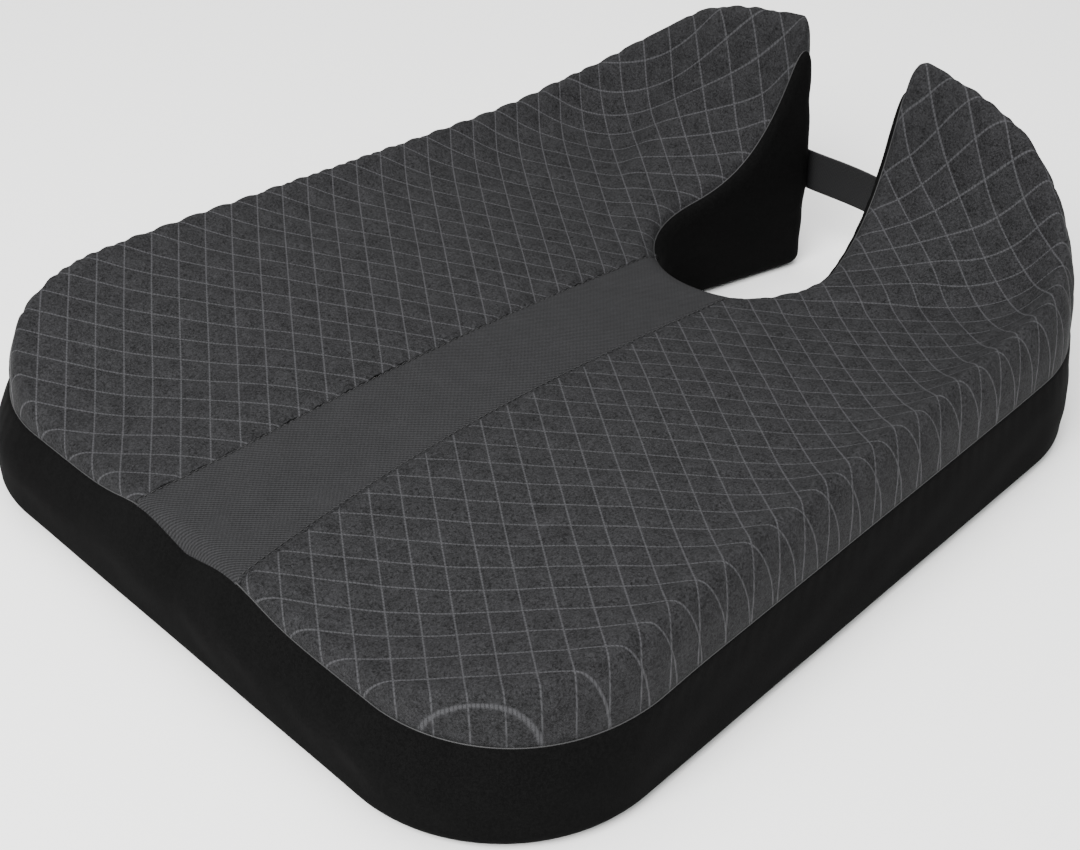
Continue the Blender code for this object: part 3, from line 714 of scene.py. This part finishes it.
def quilted_knit():
    """Quilted double knit, polyester: matt charcoal crepe ground, speckled by its heathered yarn,
    with lines of a slightly glossy yarn knitted in as small stitches; their paler colour is painted
    sheen."""
    s = settings()
    material, tree, shader = new_material("quilted double knit")
    cloth_place = add(tree, "ShaderNodeUVMap", uv_map="cloth")
    place = add(tree, "ShaderNodeTexCoord").outputs["Object"]
    part = add(tree, "ShaderNodeSeparateXYZ", {0: cloth_place})
    width_cm, length_cm = s.cell_width * 100, s.cell_length * 100
    across = sums(tree, "DIVIDE", part.outputs[0], width_cm)
    ahead = sums(tree, "DIVIDE", part.outputs[1], length_cm)
    spacing_mm = 10 / math.hypot(1 / width_cm, 1 / length_cm)
    rising = sums(tree, "ADD", across, ahead)
    falling = sums(tree, "SUBTRACT", across, ahead)
    stitch_mm, wander_mm = 1.6, 0.40
    lines = []
    for own, other in ((rising, falling), (falling, rising)):
        wander = sums(tree, "SUBTRACT", noise(tree, place, 300.0, 3.0), 0.5)
        away = mixed(tree, (sums(tree, "PINGPONG", own, 0.5), spacing_mm), (wander, wander_mm))
        thread = ranged(tree, away, 0.12, 0.60, 1.0, 0.0, interpolation_type="SMOOTHSTEP")
        # each stitch stands a little apart from the next
        stitch = sums(tree, "MULTIPLY", other, spacing_mm / stitch_mm)
        stitch = ranged(tree, sums(tree, "PINGPONG", stitch, 0.5), 0.02, 0.22, 0.35, 1.0)
        lines.append(sums(tree, "MULTIPLY", thread, stitch))
    thread = sums(tree, "MAXIMUM", *lines)
    # crepe: curled yarns about a millimetre long, finer grains between them, and slow clouds
    curl = noise(tree, place, 850.0, 3.0, Roughness=0.65, Distortion=1.1)
    grain = add(tree, "ShaderNodeTexVoronoi", {"Vector": place, "Scale": 1200.0},
                feature="SMOOTH_F1").outputs[0]
    heather = noise(tree, place, 120.0)
    tone = mixed(tree, (curl, 1.0), (grain, -0.28), (heather, 0.25))
    cloth = tones(tree, ranged(tree, tone, 0.30, 0.72), s.panel_colour, 0.25, 1.85)
    # painted sheen: the lines are mixed towards the paler line colour, which stands for the glossy
    # yarn's sheen
    colour = add(tree, "ShaderNodeMix", {
        0: sums(tree, "MULTIPLY", thread, 0.75), 6: cloth, 7: linear(s.line_sheen_colour)},
        data_type="RGBA")
    finish(tree, shader, colour.outputs[2], mixed(tree, (tone, 0.00040), (thread, 0.00022)), 1.0,
           Roughness=ranged(tree, thread, 0.0, 1.0, 0.88, 0.62), Specular_IOR_Level=0.12)
    return material


def ribbed_knit():
    """Ribbed polyester knit: fine diagonal ribs crossed by the rows of loops, matt, mid grey."""
    material, tree, shader = new_material("ribbed knit")
    place = add(tree, "ShaderNodeTexCoord").outputs["Object"]
    turned = add(tree, "ShaderNodeMapping", {"Vector": place, "Rotation": (0, 0, math.radians(45))})
    part = add(tree, "ShaderNodeSeparateXYZ", {0: turned})
    rib = wave(tree, part.outputs[0], 0.00125)
    row = wave(tree, part.outputs[1], 0.0016)
    fleck = noise(tree, place, 1400.0)
    tone = mixed(tree, (rib, 0.30), (row, 0.08), (fleck, 0.75), (noise(tree, place, 90.0), 0.25))
    colour = tones(tree, ranged(tree, tone, 0.1, 0.95), settings().band_colour, 0.45, 1.55)
    finish(tree, shader, colour, mixed(tree, (rib, 0.00012), (fleck, 0.00008)), 0.8,
           Roughness=0.88, Specular_IOR_Level=0.12)
    return material


def stretch_knit():
    """Stretch jersey, polyester and elastane: near black and matt, a tight face of loops 0.7 mm
    apart."""
    material, tree, shader = new_material("stretch jersey")
    place = add(tree, "ShaderNodeTexCoord").outputs["Object"]
    loops = add(tree, "ShaderNodeTexVoronoi", {"Vector": place, "Scale": 1400.0}).outputs[0]
    tone = mixed(tree, (loops, -0.5), (noise(tree, place, 700.0, 3.0), 0.8),
                 (noise(tree, place, 40.0), 0.3))
    colour = tones(tree, ranged(tree, tone, 0.1, 0.7), settings().wall_colour, 0.65, 1.35)
    finish(tree, shader, colour, mixed(tree, (tone, 0.00010)), 0.7,
           Roughness=0.9, Specular_IOR_Level=0.03)
    return material


def woven(name, code, pitch, depth, roughness, turn=0.0):
    """Plain-woven polyester: warp and weft pass over each other in a chequer of small mounds."""
    material, tree, shader = new_material(name)
    place = add(tree, "ShaderNodeTexCoord").outputs["Object"]
    turned = add(tree, "ShaderNodeMapping", {"Vector": place, "Rotation": (turn, 0, 0)})
    part = add(tree, "ShaderNodeSeparateXYZ", {0: turned})
    warp, weft = (wave(tree, part.outputs[k], 2 * pitch) for k in (0, 1))
    chequer = sums(tree, "MULTIPLY", warp, weft)
    tone = mixed(tree, (chequer, 0.35), (noise(tree, place, 900.0, 3.0), 1.0))
    colour = tones(tree, ranged(tree, tone, 0.1, 0.9), code, 0.6, 1.5)
    finish(tree, shader, colour, mixed(tree, (tone, depth)), 0.9,
           Roughness=roughness, Specular_IOR_Level=0.3)
    return material


def speckled(name, code, grit_mm, spread, roughness, depth, metallic=0.0):
    """A plain finish with a fine grain: two noises, one at the grit's size, vary its tone, its
    roughness and its surface. Sewing thread, cast rubber, enamelled zinc, nylon or foam."""
    material, tree, shader = new_material(name)
    place = add(tree, "ShaderNodeTexCoord").outputs["Object"]
    grit = noise(tree, place, 1000.0 / grit_mm, 3.0)
    tone = mixed(tree, (grit, 0.7), (noise(tree, place, 60.0), 0.3))
    finish(tree, shader, tones(tree, tone, code, 1 - spread, 1 + spread),
           mixed(tree, (grit, depth)), 0.6, Metallic=metallic,
           Roughness=ranged(tree, tone, 0.3, 0.7, roughness - 0.06, roughness + 0.06))
    return material


# ---------------------------------------------------------------- the cover's grids, made once
# steps across a panel, from front to back, beside the cut-out, and from the middle to a panel
ACROSS, ALONG, CUT_ROWS, MIDDLE = 120, 288, 84, 30
COARSE = (36, 84, 24, 8)  # the same for the foam and the underside
EDGE = edge_positions(ACROSS, ALONG, CUT_ROWS, MIDDLE)


def uneven(points):
    """Slow unevenness of stuffed cloth, within one: a sum of slanted sines of three sizes."""
    x, y = points[..., 0], points[..., 1]
    return (0.5 * np.sin(61 * x + 37 * y + 1.0) + 0.3 * np.sin(-83 * x + 101 * y + 2.2)
            + 0.2 * np.sin(190 * x + 149 * y + 0.6))


def quilted_surface():
    """Right quilted panel with its cloth places in centimetres. Each diamond is a cushion: its
    height is one less a Gaussian of the distance to the nearest sewn line."""
    s = settings()
    plan = panel_plan(EDGE, ACROSS, ALONG, CUT_ROWS)
    flat = plan.reshape(-1, 2)
    across, ahead = surface_lengths()
    u, v = from_table(across, flat), from_table(ahead, flat)
    away, place = nearest(flat, SEAM)
    height = top_height(flat) + 0.0005 * uneven(flat) * smooth(0.0, 0.02, away)
    grid = lifted(plan, height)
    spacing = 1 / math.hypot(1 / s.cell_width, 1 / s.cell_length)
    rising = u / s.cell_width + v / s.cell_length
    falling = u / s.cell_width - v / s.cell_length
    to_line = np.minimum(np.abs(rising - np.round(rising)), np.abs(falling - np.round(falling)))
    puff = 1 - np.exp(-(to_line * spacing / 0.0026) ** 2)
    from_band = np.abs(flat[:, 0] - band_half(flat[:, 1]))
    on_band = 1 - smooth(CUTOUT_CENTRE - 0.045, CUTOUT_CENTRE - 0.025, flat[:, 1])
    tuck = tucked(from_band, flat[:, 1]) * on_band
    raise_by = s.puff * puff * smooth(0.0, 0.004, away) - tuck
    raise_by = raise_by - 0.0005 * bell(away, 0, 0.0012)
    grid = grid + normals_of(grid) * raise_by.reshape(plan.shape[:2])[..., None]
    return placed(grid), np.stack([u, v], 1) * 100


def tucked(from_seam, y):
    """How far the cloth is drawn down at a sewn seam: a Gaussian of the distance, deeper at each
    stitch."""
    pull = 0.65 + 0.35 * np.cos(2 * np.pi * y / (STITCH + STITCH_GAP))
    return 0.0011 * bell(from_seam, 0, 0.0016) * pull


def band_surface():
    """Centre band: the seat's own height, drawn down along both seams."""
    rows = ALONG - CUT_ROWS
    plan = band_plan(EDGE, rows)
    flat = folded(plan.reshape(-1, 2))
    grid = lifted(plan, top_height(flat))
    from_seam = np.abs(flat[:, 0] - band_half(flat[:, 1]))
    away = nearest(flat, SEAM)[0]
    drop = tucked(from_seam, flat[:, 1]) + 0.0005 * bell(away, 0, 0.0012)
    drop = drop - 0.0004 * uneven(flat) * smooth(0.0, 0.015, away) * smooth(0, 0.006, from_seam)
    grid[..., 2] -= drop.reshape(plan.shape[:2])
    return placed(grid)


def wall_surface():
    """Whole wall as a loop that starts at the front centre, a little uneven, gathered by its seam:
    ripples 9 mm apart that die away within 12 mm."""
    grid, places = wall_rows(EDGE, 36)
    run = at(lengths(SEAM), places)
    below = grid[:1, :, 2] - grid[..., 2]
    ripple = 0.00018 * np.sin(2 * np.pi * run / 0.009) * np.exp(-below / 0.010)
    slow = 0.0007 * uneven(np.stack([run[None] + 0 * below, grid[..., 2] * 2], -1))
    slow = slow * smooth(0, 0.02, below) * smooth(0.0, 0.02, grid[..., 2])
    tuck = 0.0006 * bell(below, 0, 0.0014)
    inward = np.concatenate([pick(inward_of(BASE), places), np.zeros((len(places), 1))], 1)
    grid = grid + inward[None] * (tuck - ripple * smooth(0, 0.004, below) + slow)[..., None]
    return placed(looped(grid))


def coarse_plans(rim):
    """Plans of the panel and the band inside a rim, with few points."""
    edge = edge_positions(*COARSE)
    across, along, cut_rows, _ = COARSE
    return panel_plan(edge, across, along, cut_rows, rim), band_plan(edge, along - cut_rows, rim)


def foot_grids():
    """Flat grids of the underside: right, left and middle."""
    plans = coarse_plans(FOOT)
    panel, band = (lifted(plan, np.full(plan[..., 0].size, FOOT_CLEAR)) for plan in plans)
    return panel, mirrored(panel), band


def inside_of(points, loop):
    """Even and odd rule: a point is inside when a line from it towards +X crosses the closed loop
    an odd number of times."""
    ends = np.roll(loop, -1, 0)
    y = points[:, None, 1]
    crosses = (loop[None, :, 1] > y) != (ends[None, :, 1] > y)
    rise = np.where(ends[:, 1] == loop[:, 1], 1.0, ends[:, 1] - loop[:, 1])
    x = loop[:, 0] + (y - loop[:, 1]) * (ends[:, 0] - loop[:, 0]) / rise
    return (crosses & (x > points[:, None, 0])).sum(1) % 2 == 1


def cut(piece, boxes):
    """Cuts boxes, each given by two corners, out of a piece whose seams are first welded."""
    weld = piece.modifiers.new("weld", "WELD")
    weld.merge_threshold = 0.00004
    piece.modifiers.move(len(piece.modifiers) - 1, 0)
    cutters = [box_piece("cutter", *box) for box in boxes]
    for cutter in cutters:
        step = piece.modifiers.new("cut", "BOOLEAN")
        step.object = cutter
        step.operation = "DIFFERENCE"
        step.solver = "EXACT"
    done = bpy.data.meshes.new_from_object(
        piece.evaluated_get(bpy.context.evaluated_depsgraph_get()))
    piece.modifiers.clear()
    piece.data = done
    for cutter in cutters:
        bpy.data.objects.remove(cutter)


# ---------------------------------------------------------------- operators
class CUSHION_OT_panels(bpy.types.Operator):
    """Makes the two quilted seat panels"""
    bl_idname = "cushion.panels"
    bl_label = "Quilted panels"

    def execute(self, context):
        material = quilted_knit()
        right, cloth = quilted_surface()
        left_cloth = cloth.reshape(*right.shape[:2], 2)[:, ::-1] * [-1, 1]
        for name, grid, uv in (("right", right, cloth), ("left", mirrored(right), left_cloth)):
            piece = knit_sheet("quilted_panel_" + name, grid, material, uv)
            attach(piece, "cushion")
            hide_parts("top_panel_" + name)
        return {"FINISHED"}


class CUSHION_OT_band(bpy.types.Operator):
    """Makes the ribbed centre band and its two lines of stitches"""
    bl_idname = "cushion.band"
    bl_label = "Centre band"

    def execute(self, context):
        grid = band_surface()
        piece = knit_sheet("ribbed_band", grid, ribbed_knit())
        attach(piece, "cushion")
        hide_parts("centre_band")
        thread = speckled("black sewing thread", "0C0C0D", 0.3, 0.3, 0.7, 0.00004)
        parts = []
        for column in (1, grid.shape[1] - 2):
            path = grid[3:-3, column] + [0, 0, 0.0001]
            up = np.broadcast_to(UP, path.shape)
            parts.append(stitched_line(path, up, STITCH, STITCH_GAP, 0.0005, 0.0002))
        points, faces = joined(parts)
        sewn = mesh_piece("band_stitches", points, faces, thread)
        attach(sewn, "cushion")
        return {"FINISHED"}


class CUSHION_OT_walls(bpy.types.Operator):
    """Makes the outer wall, the wall of the cut-out and the top seam's cord"""
    bl_idname = "cushion.walls"
    bl_label = "Walls"

    def execute(self, context):
        material = stretch_knit()
        loop = wall_surface()
        count = loop.shape[1]
        split = MIDDLE + ACROSS + ALONG + ACROSS // 2
        spans = (("outer", np.arange(-split, split + 1) % count, (0.15, 1.62), 0.098),
                 ("cutout", np.arange(split, count - split + 1), (0.15, 0.34), 0.024))
        for name, columns, flat, area in spans:
            piece = knit_sheet("jersey_wall_" + name, loop[:, columns], material, flip=True)
            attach(piece, "cushion")
            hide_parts(name + "_wall")
        cord = carried(ring_of(0.0007, 0.0007, 8), loop[0] - [0, 0, 0.0003], UP, closed=True)
        faces = grid_faces(*cord.shape[:2], around=True, flip=True, ring=True)
        piece = mesh_piece("top_seam", cord, faces,
                           speckled("grey seam thread", "161617", 0.6, 0.5, 0.6, 0.00008))
        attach(piece, "cushion")
        return {"FINISHED"}


class CUSHION_OT_foam(bpy.types.Operator):
    """Makes the foam block inside the cover, with its channel for the zip"""
    bl_idname = "cushion.foam"
    bl_label = "Foam block"

    def execute(self, context):
        wall = wall_rows(edge_positions(*COARSE), 18)[0]
        panel, band = (lifted(plan, top_height(folded(plan.reshape(-1, 2))))
                       for plan in coarse_plans(SEAM))
        # each with whether it runs round as a loop, and whether its faces turn over
        grids = [(panel, False, False), (mirrored(panel), False, False), (band, False, False),
                 (looped(wall), True, True)] + [(grid, False, True) for grid in foot_grids()]
        parts = [(placed(grid), grid_faces(*grid.shape[:2], around=around, flip=flip))
                 for grid, around, flip in grids]
        points, faces = joined(parts)
        foam = mesh_piece("foam_block", points, faces,
                          speckled("polyurethane foam", "EDE6D6", 0.8, 0.12, 0.9, 0.0002))
        inset = foam.modifiers.new("inset", "DISPLACE")
        inset.strength = -(CLOTH + 0.0010)
        inset.mid_level = 0.0
        side, end = ZIP_HALF + WELL_CLEAR, WELL_HALF + WELL_CLEAR
        cut(foam, [((-side, ZIP_Y - end, -0.01), (side, ZIP_Y + end, WELL_TOP))])
        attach(foam, "cushion")
        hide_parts("foam_core")
        return {"FINISHED"}


def box_piece(name, low, high):
    """A plain box between two corners, for cutting."""
    corners = np.array([[x, y, z] for z in (low[2], high[2]) for y in (low[1], high[1])
                        for x in (low[0], high[0])])
    faces = [[0, 2, 3, 1], [4, 5, 7, 6], [0, 1, 5, 4], [2, 6, 7, 3], [0, 4, 6, 2], [1, 3, 7, 5]]
    mesh = bpy.data.meshes.new(name)
    mesh.from_pydata(corners.tolist(), [], faces)
    piece = bpy.data.objects.new(name, mesh)
    bpy.context.scene.collection.objects.link(piece)
    return piece


class CUSHION_OT_base(bpy.types.Operator):
    """Makes the two woven base cloths and the rubber grip dots on them"""
    bl_idname = "cushion.base"
    bl_label = "Base cloth"

    def execute(self, context):
        s = settings()
        material = woven("woven base cloth", s.base_colour, 0.0009, 0.00012, 0.8)
        grids = foot_grids()
        well = ((-ZIP_HALF, ZIP_Y - WELL_HALF, -0.01), (ZIP_HALF, ZIP_Y + WELL_HALF, 0.01))
        for name, low, high in (("front", ZIP_Y - 0.0002, 1.0), ("rear", -1.0, ZIP_Y + 0.0002)):
            points, faces = joined([(placed(grid), grid_faces(*grid.shape[:2], flip=True))
                                    for grid in grids])
            piece = mesh_piece("base_cloth_" + name, points, faces, material)
            thicken(piece, BASE_CLOTH)
            cut(piece, [well, ((-1, low, -0.01), (1, high, 0.01))])
            piece.data.shade_flat()
            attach(piece, "cushion")
            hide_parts("base_" + name)
        foot = placed(np.column_stack([FOOT, FOOT[:, 0]]))[:, :2]
        dots = self.dot_places(foot, s.dot_spacing, s.dot_radius)
        rubber = speckled("cast grip rubber", "202021", 0.5, 0.25, 0.45, 0.00004)
        turn = np.linspace(0, 2 * np.pi, 10, endpoint=False)
        climb = np.radians([0, 30, 60])
        ring = np.stack([np.cos(turn), np.sin(turn)], 1)
        radius = s.dot_radius * np.cos(climb)
        depth = FOOT_CLEAR * (1 - np.sin(climb) / math.sin(climb[-1]))
        dome = np.concatenate([ring[None] * radius[:, None, None],
                               np.broadcast_to(depth[:, None, None], (3, 10, 1))], -1)
        points = dome[None] + np.column_stack([dots, np.zeros(len(dots))])[:, None, None]
        one = grid_faces(3, 10, around=True) + [list(range(20, 30)), list(range(9, -1, -1))]
        one = [face[::-1] for face in one]
        faces = [[corner + 30 * k for corner in face] for k in range(len(dots)) for face in one]
        piece = mesh_piece("grip_dots", points, faces, rubber)
        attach(piece, "cushion")
        return {"FINISHED"}

    @staticmethod
    def dot_places(foot, spacing, radius):
        """Staggered rows of places that keep 5 mm from the edge of the cloth and from the zip."""
        x = np.arange(-18, 19) * spacing
        y = np.arange(0, 50) * spacing * 0.866 + FRONT_Y + 0.018
        plan = np.stack(np.meshgrid(x, y), -1)
        plan[1::2, :, 0] += spacing / 2
        plan = plan.reshape(-1, 2)
        half = folded(plan)
        away = nearest(half, foot)[0]
        near_zip = np.abs(plan[:, 1] - ZIP_Y) < WELL_HALF + 0.006
        near_zip &= half[:, 0] < ZIP_HALF + 0.006
        loop = np.concatenate([foot, foot[::-1][1:-1] * [-1, 1]])
        keep = inside_of(plan, loop) & (away > radius + 0.005) & ~near_zip
        return plan[keep]


class CUSHION_OT_zip(bpy.types.Operator):
    """Makes the two nylon coils and finishes the tapes, stops, slider and pull"""
    bl_idname = "cushion.zip"
    bl_label = "Zip"

    def execute(self, context):
        nylon = speckled("moulded nylon", "151516", 0.4, 0.2, 0.35, 0.00002)
        pitch, wire = 0.0013, 0.00055
        for name in ("front", "rear"):
            node = "zip_teeth_" + name
            low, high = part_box(node)
            middle = (low + high) / 2
            turns = int((high.x - low.x) / pitch)
            t = np.linspace(0, 2 * np.pi * turns, turns * 10 + 1)
            path = np.stack([low.x + wire + pitch * t / (2 * np.pi),
                             middle.y + ((high.y - low.y) - wire) / 2 * np.cos(t),
                             middle.z + ((high.z - low.z) - wire) / 2 * np.sin(t)], 1)
            coil = carried(ring_of(wire, wire, 5), path, np.array([1.0, 0, 0]))
            piece = mesh_piece("zip_coil_" + name, coil, bar_faces(*coil.shape[:2]), nylon)
            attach(piece, "cushion")
            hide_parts(node)
        tape = woven("woven zip tape", "141415", 0.0006, 0.00006, 0.8)
        zinc = speckled("enamelled zinc", "2B2B2D", 0.7, 0.15, 0.32, 0.00001, metallic=0.9)
        for name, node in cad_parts.items():
            if name.startswith("zip_tape"):
                finish = tape
            elif name in ("zip_slider", "zip_pull") or "stop" in name:
                finish = zinc
            else:
                continue
            node.data.materials.clear()
            node.data.materials.append(finish)
        return {"FINISHED"}


class CUSHION_OT_strap(bpy.types.Operator):
    """Makes the webbing carry strap and its sewn boxes"""
    bl_idname = "cushion.strap"
    bl_label = "Carry strap"

    def execute(self, context):
        webbing = woven("polyester webbing", settings().strap_colour, 0.0011, 0.00025, 0.75,
                        math.radians(90))
        middle = (STRAP_LOW + STRAP_HIGH) / 2
        half = STRAP_HIGH.x
        thick = STRAP_HIGH.y - STRAP_LOW.y
        x = np.linspace(-half, half, 260)
        bow = 0.0006 * np.sin(np.pi * (x / half + 1) * 2.5) * smooth(half - 0.02, 0.03, np.abs(x))
        path = np.stack([x, middle.y + 0 * x, middle.z + bow], 1)
        profile = ring_of(thick * 0.8, STRAP_HIGH.z - STRAP_LOW.z, 48, power=7)
        rib = 1 + 0.05 * np.cos(2 * np.pi * np.linspace(0, 24, 48, endpoint=False))
        profile[:, 0] *= rib
        body = carried(profile, path, UP)
        piece = mesh_piece("webbing_strap", body, bar_faces(*body.shape[:2]), webbing)
        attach(piece, "cushion")
        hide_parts("carry_strap")
        thread = speckled("grey sewing thread", "3A3A3C", 0.3, 0.3, 0.65, 0.00004)
        back = middle.y + thick * 0.42
        parts = []
        for side in (-1, 1):
            near, far = side * (half - 0.026), side * (half - 0.004)
            low, high = STRAP_LOW.z + 0.003, STRAP_HIGH.z - 0.003
            corners = [(near, low), (far, low), (far, high), (near, high), (near, low), (far, high)]
            corners += [(near, high), (far, low)]
            for start, end in zip(corners, corners[1:]):
                run = np.linspace(0, 1, 12)[:, None]
                flat = np.array(start) * (1 - run) + np.array(end) * run
                path = np.stack([flat[:, 0], np.full(12, back), flat[:, 1]], 1)
                up = np.broadcast_to(np.array([0.0, 1.0, 0.0]), path.shape)
                parts.append(stitched_line(path, up, 0.0020, 0.0009, 0.0005, 0.0001))
        points, faces = joined(parts)
        sewn = mesh_piece("strap_stitches", points, faces, thread)
        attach(sewn, "cushion")
        return {"FINISHED"}


# the picture's camera, angles in degrees
CAMERA_AZIMUTH = 47.07
CAMERA_ELEVATION = 33.84
CAMERA_ROLL = -1.045
CAMERA_PLACE = (0.5475, -0.3008, 0.5187)   # from the middle of the front edge
CAMERA_LENS = 62.3        # mm on a 36 mm sensor
CAMERA_SHIFT = (0.0060, -0.002)
CAMERA_TILT = -1.9        # round the cushion's long axis
WORLD_STRENGTH = 0.98
FLOOR_HALF, FLOOR_Z = 6.0, -0.0002
# name, place, diameter, share of the key light's power
LIGHTS = (("key", (0.35, -1.25, 1.40), 1.2, 1.0), ("top", (-0.2, 0.3, 1.9), 1.6, 0.40),
          ("fill", (1.7, -0.2, 0.9), 1.2, 0.12))


class CUSHION_OT_stage(bpy.types.Operator):
    """Makes the floor, the light and the camera"""
    bl_idname = "cushion.stage"
    bl_label = "Stage"

    def execute(self, context):
        s = settings()
        scene = bpy.context.scene
        corners = [(x * FLOOR_HALF, y * FLOOR_HALF, FLOOR_Z)
                   for x, y in ((-1, -1), (1, -1), (1, 1), (-1, 1))]
        floor = mesh_piece("floor", corners, [[0, 1, 2, 3]],
                           speckled("painted floor", s.floor_colour, 2.0, 0.01, 0.9, 0.0))
        world = bpy.data.worlds.new("studio")
        world.use_nodes = True
        world.node_tree.nodes["Background"].inputs[0].default_value = (1, 1, 1, 1)
        world.node_tree.nodes["Background"].inputs[1].default_value = WORLD_STRENGTH
        scene.world = world
        for name, place, size, share in LIGHTS:
            data = bpy.data.lights.new(name, "AREA")
            data.shape = "DISK"
            data.size = size
            data.energy = s.light_power * share
            lamp = bpy.data.objects.new(name, data)
            scene.collection.objects.link(lamp)
            lamp.location = place
            aim = Vector((0, 0, 0.05)) - Vector(place)
            lamp.rotation_euler = aim.to_track_quat("-Z", "Y").to_euler()
        scene.camera = self.camera(scene)
        return {"FINISHED"}

    @staticmethod
    def camera(scene):
        """Camera from its azimuth, elevation and roll round the line of sight."""
        turn, rise, roll = np.radians((CAMERA_AZIMUTH, CAMERA_ELEVATION, CAMERA_ROLL)).tolist()
        ahead = Vector((-math.sin(turn) * math.cos(rise), math.cos(turn) * math.cos(rise),
                        -math.sin(rise)))
        level = Vector((math.cos(turn), math.sin(turn), 0))
        above = level.cross(ahead)
        right = level * math.cos(roll) + above * math.sin(roll)
        top = above * math.cos(roll) - level * math.sin(roll)
        data = bpy.data.cameras.new("camera")
        data.sensor_width = 36
        data.lens = CAMERA_LENS
        data.shift_x, data.shift_y = CAMERA_SHIFT
        camera = bpy.data.objects.new("camera", data)
        scene.collection.objects.link(camera)
        place = Matrix((right, top, -ahead)).transposed().to_4x4()
        place.translation = Vector(CAMERA_PLACE) + Vector((0, FRONT_Y, 0))
        tilt = Matrix.Rotation(math.radians(CAMERA_TILT), 4, "Y")
        camera.matrix_world = tilt @ place
        return camera


class CUSHION_PT_sidebar(bpy.types.Panel):
    """Lists the cushion's settings and its pieces"""
    bl_idname = "CUSHION_PT_sidebar"
    bl_label = "Contour seat cushion"
    bl_space_type = "VIEW_3D"
    bl_region_type = "UI"
    bl_category = "Cushion"

    def draw(self, context):
        for name in CushionSettings.__annotations__:
            self.layout.prop(context.scene.cushion_settings, name)
        for operator in OPERATORS:
            self.layout.operator(operator.bl_idname)


OPERATORS = (CUSHION_OT_foam, CUSHION_OT_panels, CUSHION_OT_band, CUSHION_OT_walls,
             CUSHION_OT_base, CUSHION_OT_zip, CUSHION_OT_strap, CUSHION_OT_stage)
CLASSES = (CushionSettings,) + OPERATORS + (CUSHION_PT_sidebar,)


def register():
    for item in CLASSES:
        bpy.utils.register_class(item)
    bpy.types.Scene.cushion_settings = bpy.props.PointerProperty(type=CushionSettings)


def unregister():
    del bpy.types.Scene.cushion_settings
    for item in reversed(CLASSES):
        bpy.utils.unregister_class(item)


def main():
    register()
    for operator in OPERATORS:
        group, name = operator.bl_idname.split(".")
        if getattr(getattr(bpy.ops, group), name)() != {"FINISHED"}:
            raise RuntimeError(operator.bl_label + " didn't finish")


if __name__ == "__main__":
    main()
